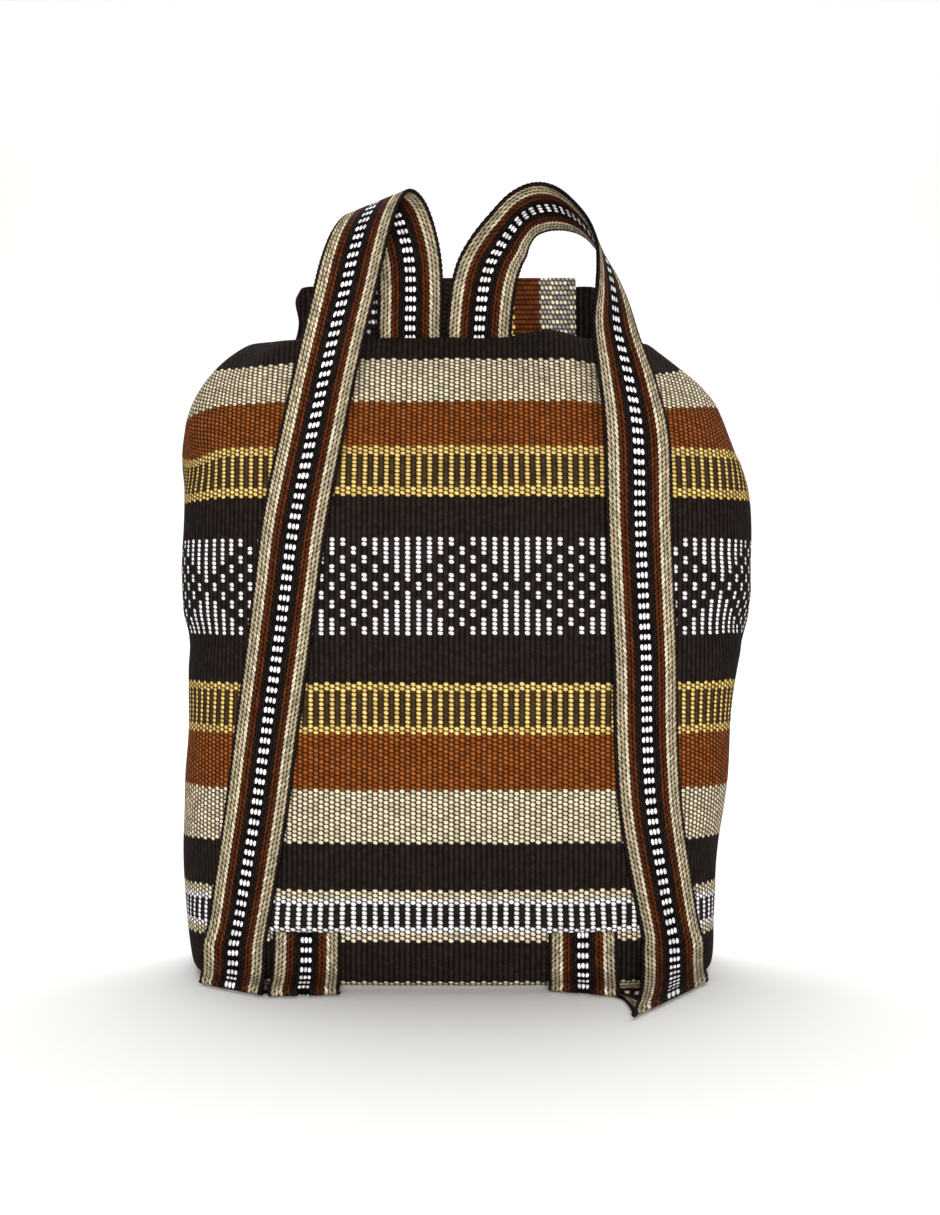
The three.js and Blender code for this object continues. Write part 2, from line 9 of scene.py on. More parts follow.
import bpy
import numpy as np
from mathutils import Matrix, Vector


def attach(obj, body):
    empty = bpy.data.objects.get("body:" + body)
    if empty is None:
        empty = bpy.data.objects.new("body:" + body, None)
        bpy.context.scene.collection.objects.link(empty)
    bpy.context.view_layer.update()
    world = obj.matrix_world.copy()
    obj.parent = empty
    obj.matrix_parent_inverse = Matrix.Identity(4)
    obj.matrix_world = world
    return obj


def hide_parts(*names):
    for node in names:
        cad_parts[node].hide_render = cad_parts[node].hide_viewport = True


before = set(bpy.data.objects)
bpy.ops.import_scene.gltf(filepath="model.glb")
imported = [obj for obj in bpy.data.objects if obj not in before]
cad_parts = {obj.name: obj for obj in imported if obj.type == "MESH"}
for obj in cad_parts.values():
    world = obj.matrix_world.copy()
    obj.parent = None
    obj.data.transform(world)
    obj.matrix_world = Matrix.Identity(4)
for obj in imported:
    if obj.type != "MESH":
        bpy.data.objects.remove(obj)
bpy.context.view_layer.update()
MM = 0.001

# Sizes of the sack
BODY_HEIGHT = 372
HALF_WIDTH = 169
HALF_DEPTH = 80
WALL = 2

# Sizes of the gathered neck
NECK_RISE = 38
NECK_HALF_WIDTH = 96
NECK_HALF_DEPTH = 23
NECK_SHIFT = -11
NECK_BACK = 26
PLEATS = 18
PLEAT_DEPTH = 2.6

# Sizes of the straps
STRAP_WIDTH = 39
STRAP_THICK = 2
LOOP_RISE = 78
HANG_HEIGHT = 30

# Sizes of the flap
FLAP_WIDTH = 150
FLAP_THICK = 2
FLAP_SHIFT = -10
FLAP_DROP = 120
FLAP_SETTLE = 0.25

# Clearance between cloth pieces that touch
CLOTH_GAP = 0.8

# The cloth's weave: a thread passes over one rib and under the next, so two threads make one row
RIB_PITCH = 3.05
ROW_PITCH = 2.5

# The webbing's weave: the spacing of its warp chains and of its white bars along the strap
CHAIN_PITCH = 2.9
BAR_PITCH = 5.8

# Fineness of the new surfaces
BODY_COLUMNS = PLEATS * 16
BODY_STEP = 2.2
FINE_STEP = 0.8
INNER_STEP = 7
STRAP_STEP = 1.1
STRAP_COLUMNS = 30
OUTLINE_SAMPLES = 1441
CREST_REACH = 26
TUCK_REACH = 12
BOTTOM_RINGS = 12
FLAP_TOP_ROWS = 110
FLAP_HANG_ROWS = 70
FLAP_COLUMNS = 76

# Outline of the sack from the floor to the crest, as shares of BODY_HEIGHT, HALF_WIDTH and HALF_DEPTH.
# Corner is the power of the superellipse.
# Columns: height, left, right, front, back, corner, pleat
BODY_ROWS = np.array([
    (0.0, 0.9, 0.81, 0.84, 0.82, 3.4, 0),
    (0.009, 0.945, 0.845, 0.95, 0.92, 3.4, 0),
    (0.035, 0.965, 0.86, 0.99, 0.96, 3.4, 0),
    (0.1, 0.98, 0.865, 1.0, 0.99, 3.3, 0),
    (0.2, 0.995, 0.885, 1.0, 1.0, 3.1, 0),
    (0.3, 0.99, 0.915, 1.0, 1.01, 3, 0),
    (0.41, 0.978, 0.928, 1.0, 1.0, 3, 0),
    (0.49, 0.974, 0.95, 1.0, 0.99, 3, 0),
    (0.535, 0.982, 0.975, 1.0, 0.99, 2.9, 0),
    (0.57, 0.996, 0.995, 1.0, 1.0, 2.8, 0),
    (0.635, 1.004, 1.0, 1.0, 1.01, 2.8, 0),
    (0.7, 0.996, 1.004, 1.0, 1.01, 2.8, 0),
    (0.765, 0.996, 0.991, 0.97, 0.99, 2.8, 0),
    (0.83, 1.006, 0.952, 0.84, 0.95, 2.7, 0),
    (0.885, 0.99, 0.905, 0.74, 0.9, 2.6, 0.1),
    (0.93, 0.945, 0.835, 0.63, 0.85, 2.6, 0.3),
    (0.962, 0.89, 0.755, 0.53, 0.8, 2.6, 0.5),
    (0.986, 0.83, 0.69, 0.44, 0.765, 2.6, 0.5),
])
CREST_ROWS = np.array([
    (1.0, 0.775, 0.645, 0.36, 0.735, 2.7, 0.4),
    (0.996, 0.735, 0.605, 0.29, 0.715, 2.8, 0.4),
    (0.976, 0.71, 0.585, 0.25, 0.7, 2.8, 0.5),
])

# Gathered neck. Columns: rise above the crest, wide, deep, corner, pleat
NECK_ROWS = np.array([
    (-0.3, 1.08, 1.12, 2.8, 0.8),
    (0.05, 1.0, 1.0, 2.6, 1),
    (0.4, 0.97, 0.93, 2.5, 1),
    (0.75, 0.99, 0.98, 2.5, 1),
    (0.96, 0.96, 0.9, 2.4, 0.9),
])

# Middle lines of the straps above the panel, from the root behind the crest. Columns: across, depth and
# rise as shares of HALF_WIDTH, HALF_DEPTH and LOOP_RISE, then turn and tip of the width in degrees
LEFT_LOOP = np.array([
    (-0.2, -0.208, -0.08, 0, 0),
    (-0.201, -0.208, 0.12, 0, 0),
    (-0.199, -0.2, 0.34, 0, 0),
    (-0.203, -0.22, 0.58, 0, 3),
    (-0.22, -0.28, 0.77, 0, 8),
    (-0.245, -0.39, 0.91, -6, 14),
    (-0.272, -0.52, 0.965, -12, 18),
    (-0.3, -0.65, 0.955, -14, 19),
    (-0.326, -0.78, 0.87, -12, 17),
    (-0.353, -0.89, 0.72, -6, 15),
    (-0.378, -0.96, 0.52, 0, 13),
    (-0.402, -1.005, 0.28, 0, 12),
    (-0.433, -1.03, 0.0, 0, 12),
    (-0.466, -1.04, -0.31, 0, 12),
    (-0.503, -1.038, -0.68, 2, 11),
])
RIGHT_LOOP = np.array([
    (0.039, -0.208, -0.08, 0, 0),
    (0.042, -0.208, 0.1, 0, 0),
    (0.05, -0.205, 0.3, 2, -1),
    (0.062, -0.205, 0.46, 5, -3),
    (0.083, -0.215, 0.6, 14, -6),
    (0.115, -0.235, 0.72, 30, -14),
    (0.15, -0.27, 0.83, 48, -21),
    (0.192, -0.33, 0.925, 58, -28),
    (0.243, -0.41, 0.965, 62, -33),
    (0.297, -0.505, 0.955, 64, -34),
    (0.345, -0.61, 0.9, 68, -30),
    (0.385, -0.715, 0.81, 74, -22),
    (0.418, -0.81, 0.7, 80, -13),
    (0.445, -0.89, 0.57, 79, -6),
    (0.466, -0.95, 0.42, 70, -6),
    (0.482, -1.0, 0.22, 58, -7),
    (0.493, -1.04, -0.04, 42, -8),
    (0.53, -1.05, -0.38, 25, -8),
    (0.562, -1.045, -0.78, 10, -7),
])

# Middle lines down the panel. Columns: height, across, and lift off the panel as a share of STRAP_WIDTH
LEFT_PANEL = np.array([
    (0.71, -0.572, 0.03),
    (0.6, -0.605, 0.015),
    (0.49, -0.637, 0),
    (0.38, -0.671, 0),
    (0.27, -0.703, 0),
    (0.165, -0.739, 0),
    (0.09, -0.766, 0),
])
RIGHT_PANEL = np.array([
    (0.71, 0.573, 0.03),
    (0.6, 0.583, 0.02),
    (0.49, 0.594, 0),
    (0.38, 0.598, 0),
    (0.27, 0.613, 0),
    (0.165, 0.65, 0),
    (0.09, 0.68, 0),
])

# Feet of the straps, from the strap that comes down to the sewn end that goes up. Far and near are its
# edges. Columns: far out from the pivot, far ahead of the panel, near out, near ahead, high above the
# floor, all as shares of STRAP_WIDTH
LEFT_FOOT = np.array([
    (1.04, 0, 0.04, 0.03, 0.58),
    (1.04, 0.02, 0.04, 0.13, 0.34),
    (1.04, 0.05, 0.04, 0.3, 0.2),
    (1.04, 0.1, 0.04, 0.5, 0.142),
    (1.04, 0.16, 0.04, 0.6, 0.122),
    (1.04, 0.21, 0.04, 0.67, 0.085),
    (1.03, 0.16, 0.04, 0.61, 0.047),
    (0.75, 0.05, 0.03, 0.5, 0.047),
    (0.4, 0, 0.01, 0.46, 0.047),
    (0, -0.01, 0, 0.45, 0.047),
    (-0.4, 0, -0.01, 0.47, 0.047),
    (-0.75, 0.12, -0.03, 0.55, 0.047),
    (-1.03, 0.44, -0.04, 0.68, 0.047),
    (-1.04, 0.49, -0.04, 0.74, 0.085),
    (-1.04, 0.43, -0.04, 0.67, 0.122),
    (-1.04, 0.34, -0.04, 0.55, 0.142),
    (-1.04, 0.2, -0.04, 0.32, 0.2),
    (-1.04, 0.09, -0.04, 0.15, 0.34),
    (-1.04, 0.02, -0.04, 0.03, 0.58),
])
RIGHT_FOOT = np.array([
    (1.16, 0, 0.16, 0.1, 0.58),
    (1.16, 0.02, 0.13, 0.5, 0.34),
    (1.17, 0.05, 0.06, 1.1, 0.2),
    (1.18, 0.1, -0.04, 1.7, 0.142),
    (1.18, 0.15, -0.11, 1.94, 0.122),
    (1.18, 0.2, -0.13, 2.04, 0.085),
    (1.16, 0.15, -0.12, 1.96, 0.047),
    (0.9, 0.1, -0.1, 1.8, 0.047),
    (0.5, 0.05, -0.1, 1.5, 0.047),
    (0, 0.02, -0.12, 1.15, 0.047),
    (-0.5, 0.05, -0.14, 0.85, 0.047),
    (-0.9, 0.1, -0.16, 0.7, 0.047),
    (-1.15, 0.15, -0.17, 0.68, 0.047),
    (-1.16, 0.2, -0.18, 0.74, 0.085),
    (-1.16, 0.15, -0.18, 0.67, 0.122),
    (-1.16, 0.1, -0.17, 0.54, 0.142),
    (-1.16, 0.05, -0.16, 0.3, 0.2),
    (-1.16, 0.02, -0.16, 0.14, 0.34),
    (-1.16, 0, -0.16, 0.03, 0.58),
])
LEFT_PIVOT = -0.655
RIGHT_PIVOT = 0.537
END_HEIGHT = 0.086

# Middle line of the flap over the neck. Columns: over, aside, rise, above, as the frame has them
FLAP_ROWS = np.array([
    (0, -4, -0.08, 0),
    (0, -3, 0.2, 0),
    (0, -2, 0.5, 0),
    (0, -1, 0.8, 0),
    (0, 0, 0.97, 0),
    (0, 1.5, 1, 0.5),
    (0.3, 0, 1, 1),
    (0.55, 0, 1, 1),
    (0.8, 0, 1, 0.5),
    (1, -0.25, 1, -0.5),
    (1, 0.5, 0.8, 0),
    (1, 2, 0.6, 0),
    (1, 3, 0.3, 0),
])

# Yarn colours
BLACK = "1e1714"
BROWN = "7f441b"
CREAM = "cbbc9f"
GOLD = "cfae66"
WHITE = "ebe6e8"
RUST = "4f260f"
KHAKI = "a8997d"
GREY = "86807c"
UMBER = "382a1a"

# Bands of the sack's cloth from the bottom edge up to the neck. Columns: rows of weave, the yarn seen on
# even ribs, the yarn seen on odd ribs
DIAMOND_ROWS = 22
SACK_BANDS = [
    (8, CREAM, CREAM),
    (10, BLACK, BLACK),
    (2, CREAM, CREAM),
    (1, WHITE, WHITE),
    (5, WHITE, BLACK),
    (1, WHITE, WHITE),
    (2, CREAM, CREAM),
    (11, BLACK, BLACK),
    (12, CREAM, CREAM),
    (12, BROWN, BROWN),
    (2, GOLD, GOLD),
    (8, GOLD, UMBER),
    (2, GOLD, GOLD),
    (10, BLACK, BLACK),
    (DIAMOND_ROWS, WHITE, BLACK),
    (10, BLACK, BLACK),
    (2, GOLD, GOLD),
    (8, GOLD, UMBER),
    (2, GOLD, GOLD),
    (12, BROWN, BROWN),
    (12, CREAM, CREAM),
    (90, BLACK, BLACK),
]
SACK_DIAMOND = 14
DIAMOND_HEIGHT = 223.5
DIAMOND_SHIFT = 4.2

# Stripes of the flap from its left edge to its right edge, with the same columns
FLAP_BANDS = [
    (6, BLACK, BLACK),
    (DIAMOND_ROWS, WHITE, BLACK),
    (6, BLACK, BLACK),
    (9, GOLD, UMBER),
    (2, GOLD, GOLD),
    (6, RUST, RUST),
    (3, GREY, CREAM),
    (4, CREAM, GREY),
    (3, GREY, CREAM),
    (2, BLACK, BLACK),
]
FLAP_DIAMOND = 1

# Places where the cloth is drawn askew, so that its bands drop. Columns: girth from the middle of the
# front, height, half girth, half height, and the drop, all in mm
DRIFTS = np.array([
    (-176, 322, 40, 62, 7),
    (-120, 356, 62, 34, 4),
    (116, 350, 52, 36, 9),
])

# Soft dents and, below zero, bulges. Columns: girth, height, half girth, half height, depth, in mm
DENTS = np.array([
    (172, 205, 46, 20, 4.0),
    (158, 232, 40, 16, -1.5),
    (-168, 196, 44, 18, 2.6),
    (-20, 332, 60, 18, 1.6),
    (0, 20, 120, 16, -1.6),
    (20, 92, 66, 40, 1.6),
    (-60, 150, 40, 70, 1.2),
    (90, 262, 44, 60, 1.4),
    (-172, 300, 34, 24, 2.4),
    (180, 318, 34, 22, 2.6),
    (-150, 60, 40, 26, 2.0),
    (160, 70, 40, 24, 2.4),
    (-300, 240, 70, 60, 2.6),
    (320, 160, 90, 50, 2.6),
    (260, 300, 60, 34, 2.4),
    (-250, 90, 60, 50, 2.2),
])

# Slack waves all over the sack. Columns: seed, length and height in mm
SLACK_WAVES = [
    (5, 90, 0.45),
    (6, 38, 0.15),
]

# The stuffing smooths the cloth near the floor: where the slack starts and over how much cloth it grows
SLACK_START = 4
SLACK_GROWTH = 24

# The lip of cloth that the sewn ends are caught under: how far it stands out, how high it reaches, how far
# it runs past each end, how sharp its hem is, and the half girth of the panel that has it
TUCK_DEPTH = 3.4
TUCK_RISE = 22
TUCK_SPREAD = 3
TUCK_HEM = 1.2
PANEL_GIRTH = 170

# Rise of the crest where it bows up beside the right strap
BOW_RISE = 5
BOW_MIDDLE = 47
BOW_HALF = 30

# Ridge of the side seams
SEAM_RISE = 1.2

# Stripes of the webbing from one edge to the other. Columns: width in mm, chains of warp, yarn
STRIPES = [
    (1.8, 1, BLACK),
    (4.4, 2, KHAKI),
    (2.3, 1, CREAM),
    (4.6, 2, RUST),
    (3.3, 2, BLACK),
    (6.6, 3, WHITE),
    (3.5, 2, BLACK),
    (4.2, 2, RUST),
    (2.3, 1, CREAM),
    (4.2, 2, KHAKI),
    (1.8, 1, BLACK),
]
BEAD_LENGTH = 3.9
EDGE_SCALLOP = 0.3

# How the cloth's threads wander and quiver across and along it, in mm, and how its beads slant
CLOTH_WANDER = (0.6, 2.2, 0.0)
CLOTH_QUIVER = (0.25, 0.7, 0.0)
BEAD_SLANT = 0.14
WEBBING_QUIVER = (0.5, 0.9, 0.0)

# Matt yarn: it hardly shines, and its beads stand up by this much, in metres
YARN_GLOSS = 0.06
CLOTH_RELIEF = 0.0008
WEBBING_RELIEF = 0.0007

# Studio, in metres. Lamps: name, size, watts, place
SWEEP_WHITE = "f4f3f1"
SKY_LIGHT = 0.12
LAMPS = [
    ("key", 0.7, 50, (0.05, -2.2, 0.5)),
    ("sweep", 2.6, 90, (0.0, 1.1, 2.4)),
]
LAMP_TARGET = (0, 0.0, 0.2)

# Camera, in metres: its place, its distance from the strap panel, and the height of frame seen there
CAMERA_ASIDE = 0.0017
CAMERA_HIGH = 0.214
CAMERA_DISTANCE = 1.1
FRAME_HEIGHT = 0.6804
SENSOR_WIDTH = 36


def linear(code, alpha=1.0):
    """Linear colour of an sRGB hex code."""
    parts = [int(code[i:i + 2], 16) / 255 for i in (0, 2, 4)]
    return (*[c / 12.92 if c <= 0.04045 else ((c + 0.055) / 1.055) ** 2.4 for c in parts], alpha)


def catmull(points, at):
    """Catmull-Rom spline through points, read at places from 0 to their count less one: between two
    points it is the cubic whose slope at each is half the step between that point's neighbours."""
    points = np.asarray(points, float)
    ends = 2 * points[0] - points[1], 2 * points[-1] - points[-2]
    run = np.concatenate([ends[:1], points, ends[1:]])
    at = np.asarray(at, float)
    first = np.clip(np.floor(at).astype(int), 0, len(points) - 2)
    t = (at - first).reshape(-1, *[1] * (points.ndim - 1))
    a, b, c, d = (run[first + k] for k in range(4))
    return b + 0.5 * t * (c - a + t * (2 * a - 5 * b + 4 * c - d + t * (3 * (b - c) + d - a)))


def unit(vectors):
    """Vectors divided by their lengths."""
    return vectors / np.maximum(np.linalg.norm(vectors, axis=-1, keepdims=True), 1e-9)


def bump_at(value, centre, half):
    """Smooth bump: 1 at the centre, falling to 0 at half to each side, as a squared cosine."""
    return np.cos(np.clip((value - centre) / half, -1, 1) * np.pi / 2) ** 2


def ripple(x, y, seed, length, count=14):
    """Sum of plane waves of about one length, with seeded directions and phases, scaled to about 1."""
    rng = np.random.default_rng(seed)
    angle = rng.uniform(0, 2 * np.pi, count)
    phase = rng.uniform(0, 2 * np.pi, count)
    wave = 2 * np.pi / (length * rng.uniform(0.7, 1.5, count))
    total = sum(
        np.cos(w * (x * math.cos(a) + y * math.sin(a)) + p) for a, p, w in zip(angle, phase, wave)
    )
    return total * math.sqrt(2 / count) / 1.5


def ring_table():
    """Rings of the sack, crest and neck: centre x and y, half sizes, height, corner and pleat."""
    rows = np.vstack([BODY_ROWS, CREST_ROWS])
    left, right = -rows[:, 1] * HALF_WIDTH, rows[:, 2] * HALF_WIDTH
    front, back = -rows[:, 3] * HALF_DEPTH, rows[:, 4] * HALF_DEPTH
    sack = np.stack([
        (left + right) / 2, (front + back) / 2, (right - left) / 2, (back - front) / 2,
        rows[:, 0] * BODY_HEIGHT, rows[:, 5], rows[:, 6],
    ], axis=1)
    neck = np.stack([
        np.full(len(NECK_ROWS), NECK_SHIFT), np.full(len(NECK_ROWS), NECK_BACK),
        NECK_ROWS[:, 1] * NECK_HALF_WIDTH, NECK_ROWS[:, 2] * NECK_HALF_DEPTH,
        BODY_HEIGHT + NECK_ROWS[:, 0] * NECK_RISE, NECK_ROWS[:, 3], NECK_ROWS[:, 4],
    ], axis=1)
    return np.vstack([sack, neck])


RINGS = ring_table()
SACK_PLACES = np.linspace(0, len(BODY_ROWS) - 1, 600)
SACK_RINGS = catmull(RINGS[:len(BODY_ROWS)], SACK_PLACES)


def surface_y(x, z, side):
    """Y of the sack's superellipse at x and z: side -1 is the strap panel, side 1 the far side."""
    ring = [np.interp(z, SACK_RINGS[:, 4], SACK_RINGS[:, k]) for k in range(6)]
    across = np.minimum(0.98, np.abs(x - ring[0]) / ring[2])
    return ring[1] + side * ring[3] * (1 - across ** ring[5]) ** (1 / ring[5])


def make_piece(name, points, faces, corner_uv, material, node):
    """Mesh from points in mm and faces, with one UV per face corner, that stands for a node."""
    mesh = bpy.data.meshes.new(name)
    mesh.from_pydata((points * MM).tolist(), [], faces)
    layer = mesh.uv_layers.new(name="cloth")
    layer.data.foreach_set("uv", np.ascontiguousarray(corner_uv, np.float32).ravel())
    mesh.polygons.foreach_set("use_smooth", np.ones(len(faces), bool))
    mesh.materials.append(material)
    mesh.validate()
    piece = bpy.data.objects.new(name, mesh)
    bpy.context.scene.collection.objects.link(piece)
    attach(piece, "root")
    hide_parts(node)
    return piece


def ring_points(rings):
    """Superellipse rings, equally spaced by arc length from the middle of the front, with the wave of
    the pleats along their outline. Gives the points and the rings' lengths."""
    angle = np.linspace(-np.pi / 2, 3 * np.pi / 2, OUTLINE_SAMPLES)
    power = 2 / rings[:, 5, None]
    x = rings[:, 0, None] + rings[:, 2, None] * np.sign(np.cos(angle)) * np.abs(np.cos(angle)) ** power
    y = rings[:, 1, None] + rings[:, 3, None] * np.sign(np.sin(angle)) * np.abs(np.sin(angle)) ** power
    steps = np.hypot(np.diff(x), np.diff(y))
    run = np.concatenate([np.zeros((len(rings), 1)), np.cumsum(steps, axis=1)], axis=1)
    length = run[:, -1]
    # one rising sequence for all rings, so that a single interpolation serves them
    order = np.arange(len(rings))[:, None] * 2
    rising = (run / length[:, None] + order).ravel()
    share = np.arange(BODY_COLUMNS) / BODY_COLUMNS
    wanted = (share + order).ravel()
    shape = (len(rings), BODY_COLUMNS)
    px = np.interp(wanted, rising, x.ravel()).reshape(shape)
    py = np.interp(wanted, rising, y.ravel()).reshape(shape)
    along = np.roll(px, -1, 1) - np.roll(px, 1, 1), np.roll(py, -1, 1) - np.roll(py, 1, 1)
    out = unit(np.stack([along[1], -along[0]], axis=2))
    wave = np.cos(2 * np.pi * PLEATS * share) * rings[:, 6, None] * PLEAT_DEPTH
    points = np.stack([px + out[..., 0] * wave, py + out[..., 1] * wave,
                       np.repeat(rings[:, 4, None], BODY_COLUMNS, 1)], axis=2)
    return points, length


def grid_normals(points):
    """Normals of a grid of rings from the steps to the neighbouring points, facing outwards."""
    around = np.roll(points, -1, 1) - np.roll(points, 1, 1)
    up = np.gradient(points, axis=0)
    return unit(np.cross(around, up))


def body_places():
    """Places along the ring table whose front points are a fixed step of cloth apart, finer where the
    strap ends are caught and at the crest. Gives the places and the cloth's length at each."""
    dense = np.linspace(0, len(RINGS) - 1, 6000)
    rings = catmull(RINGS, dense)
    front = np.stack([rings[:, 1] - rings[:, 3], rings[:, 4]], axis=1)
    run = np.concatenate([[0], np.cumsum(np.hypot(*np.diff(front, axis=0).T))])
    crest = run[np.argmax(dense >= len(BODY_ROWS))]
    tuck = END_HEIGHT * BODY_HEIGHT
    closeness = np.maximum(bump_at(run, crest, CREST_REACH), bump_at(run, tuck, TUCK_REACH))
    step = BODY_STEP + (FINE_STEP - BODY_STEP) * closeness
    count = np.concatenate([[0], np.cumsum(np.diff(run) / step[1:])])
    rows = np.linspace(0, count[-1], int(count[-1]) + 1)
    places = np.interp(rows, count, dense)
    return places, np.interp(rows, count, run)


def build_body(material):
    """The sack: rings of the table, a cloth skin outside and one WALL inside it, closed over the rim and
    across the bottom."""
    places, cloth = body_places()
    rings = catmull(RINGS, places)
    outer, length = ring_points(rings)
    normals = grid_normals(outer)
    share = np.arange(BODY_COLUMNS) / BODY_COLUMNS
    girth = length[:, None] * np.where(share <= 0.5, share, share - 1)
    # the ribs run straight up the front and the back, so their count starts from the bag's own middle
    front_girth = girth + rings[:, :1]
    back_girth = girth - np.where(share <= 0.5, 1, -1) * length[:, None] / 2 - rings[:, :1]
    height = np.repeat(cloth[:, None], BODY_COLUMNS, 1)
    soft = sum(ripple(girth, height, seed, span) * tall for seed, span, tall in SLACK_WAVES)
    for u, z, half_u, half_z, depth in DENTS:
        soft -= depth * bump_at(girth, u, half_u) * bump_at(outer[..., 2], z, half_z)
    calm = np.clip((height - SLACK_START) / SLACK_GROWTH, 0, 1)
    calm *= height < cloth[np.argmax(places > len(BODY_ROWS))]
    # side seams, and the lip over the sewn ends of the straps
    quarter = BODY_COLUMNS // 4
    soft[:, [quarter, 3 * quarter]] += SEAM_RISE
    lip = np.zeros_like(soft)
    for pivot, outward, foot in ((LEFT_PIVOT, -1, LEFT_FOOT), (RIGHT_PIVOT, 1, RIGHT_FOOT)):
        ends = np.sort(pivot * HALF_WIDTH - outward * np.abs(foot[-1, [0, 2]]) * STRAP_WIDTH)
        inside = np.minimum(outer[..., 0] - ends[0], ends[1] - outer[..., 0]) + TUCK_SPREAD
        lip = np.maximum(lip, np.clip(inside / TUCK_SPREAD, 0, 1))
    above = outer[..., 2] - END_HEIGHT * BODY_HEIGHT
    lip *= np.clip(above / TUCK_HEM, 0, 1) * bump_at(np.maximum(above, 0), 0, TUCK_RISE)
    lip *= np.abs(girth) < PANEL_GIRTH
    outer = outer + normals * (soft * calm + lip * TUCK_DEPTH)[..., None]
    crest = np.interp(len(BODY_ROWS), places, cloth)
    bow = bump_at(outer[..., 0], BOW_MIDDLE, BOW_HALF) * bump_at(height, crest, CREST_REACH)
    outer[..., 2] += BOW_RISE * bow * (outer[..., 1] < NECK_BACK - NECK_HALF_DEPTH)
    outer[..., 2] = np.maximum(outer[..., 2], 0)
    inner_rows = np.unique(np.round(np.linspace(0, len(rings) - 1, int(cloth[-1] / INNER_STEP))).astype(int))
    normals = grid_normals(outer)
    inner = (outer - normals * WALL)[inner_rows]
    inner[0, :, 2] = WALL
    rim = (outer[-1] + inner[-1]) / 2
    rim[:, 2] += WALL / 2
    # the bottoms shrink towards their middle in rings, and close in one point
    shrink = np.linspace(0, 1, BOTTOM_RINGS)[1:-1]
    middle = np.array([rings[0, 0], rings[0, 1], 0])
    bottom = middle + (outer[0] - middle) * shrink[:, None, None]
    lid = np.array([*middle[:2], WALL])
    inner_bottom = lid + (inner[0] - lid) * shrink[::-1][:, None, None]
    skins = np.concatenate([bottom, outer, rim[None], inner[::-1], inner_bottom])
    count = len(skins)
    points = np.concatenate([skins.reshape(-1, 3), middle[None], lid[None]])
    # cloth coordinates, in mm: the girth from the middle of the front or the back, and the cloth's length
    # up from the middle of the diamonds
    sack = places <= len(BODY_ROWS)
    zero = np.interp(DIAMOND_HEIGHT, rings[sack, 4], cloth[sack])
    drop = sum(
        mm * bump_at(girth, u, half_u) * bump_at(outer[..., 2], z, half_z)
        for u, z, half_u, half_z, mm in DRIFTS
    )
    bottom_height = -(bottom[..., 1] - outer[0, 0, 1])
    lid_height = -(inner_bottom[..., 1] - outer[0, 0, 1])
    v = np.concatenate([
        bottom_height, height + drop, height[-1:] + WALL, height[inner_rows][::-1], lid_height,
    ]) - zero
    flat_u, back_u = (
        np.concatenate([
            bottom[..., 0], u, u[-1:], u[inner_rows][::-1], inner_bottom[..., 0],
        ]).reshape(-1)
        for u in (front_girth, back_girth)
    )
    r = np.arange(count - 1)[:, None]
    k = np.arange(BODY_COLUMNS)[None]
    after = (k + 1) % BODY_COLUMNS
    a, b = r * BODY_COLUMNS + k, r * BODY_COLUMNS + after
    quads = np.stack([a, b, b + BODY_COLUMNS, a + BODY_COLUMNS], axis=2).reshape(-1, 4)
    # the back half counts its girth from the middle of the back, so the two patterns meet at the sides
    on_back = np.broadcast_to((k >= quarter) & (k < 3 * quarter), a.shape).reshape(-1)
    u = np.where(on_back[:, None], back_u[quads], flat_u[quads])
    quad_v = v.reshape(-1)[quads]
    first = BODY_COLUMNS * (count - 1)
    centre = count * BODY_COLUMNS
    ring = np.arange(BODY_COLUMNS)
    nxt = (ring + 1) % BODY_COLUMNS
    fan_low = np.stack([np.full(BODY_COLUMNS, centre), nxt, ring], axis=1)
    fan_high = np.stack([first + ring, first + nxt, np.full(BODY_COLUMNS, centre + 1)], axis=1)
    fans = np.concatenate([fan_low, fan_high])
    fan_u = np.concatenate([flat_u, [middle[0], middle[0]]])[fans]
    fan_v = np.concatenate([v.reshape(-1), [-(middle[1] - outer[0, 0, 1]) - zero] * 2])[fans]
    corner = np.concatenate([
        np.stack([u, quad_v], axis=2).reshape(-1, 2), np.stack([fan_u, fan_v], axis=2).reshape(-1, 2),
    ])
    faces = quads.tolist() + fans.tolist()
    return make_piece("bag_cloth", points, faces, corner, material, "bag_body")


def strap_y(x, z):
    """Y of the middle of the strap's thickness where it lies on the panel."""
    return surface_y(x, z, -1) - CLOTH_GAP - STRAP_THICK / 2


def hang_y(x, middle):
    """The same near the floor, where the strap hangs straight down along the panel's tangent."""
    probe = STRAP_WIDTH / 4
    slope = (strap_y(middle + probe, HANG_HEIGHT) - strap_y(middle - probe, HANG_HEIGHT)) / (2 * probe)
    return strap_y(middle, HANG_HEIGHT) + slope * (x - middle)


def loop_edges(loop):
    """Both edges of the strap at each free row: the middle less and plus half its turned, tipped width."""
    across, depth, rise, turn, tip = loop.T
    turn, tip = np.radians(turn), np.radians(tip)
    centre = np.stack([across * HALF_WIDTH, depth * HALF_DEPTH, BODY_HEIGHT + rise * LOOP_RISE], axis=1)
    wide = np.stack([np.cos(tip) * np.cos(turn), np.cos(tip) * np.sin(turn), np.sin(tip)], axis=1)
    return np.stack([centre - wide * STRAP_WIDTH / 2, centre + wide * STRAP_WIDTH / 2], axis=1)


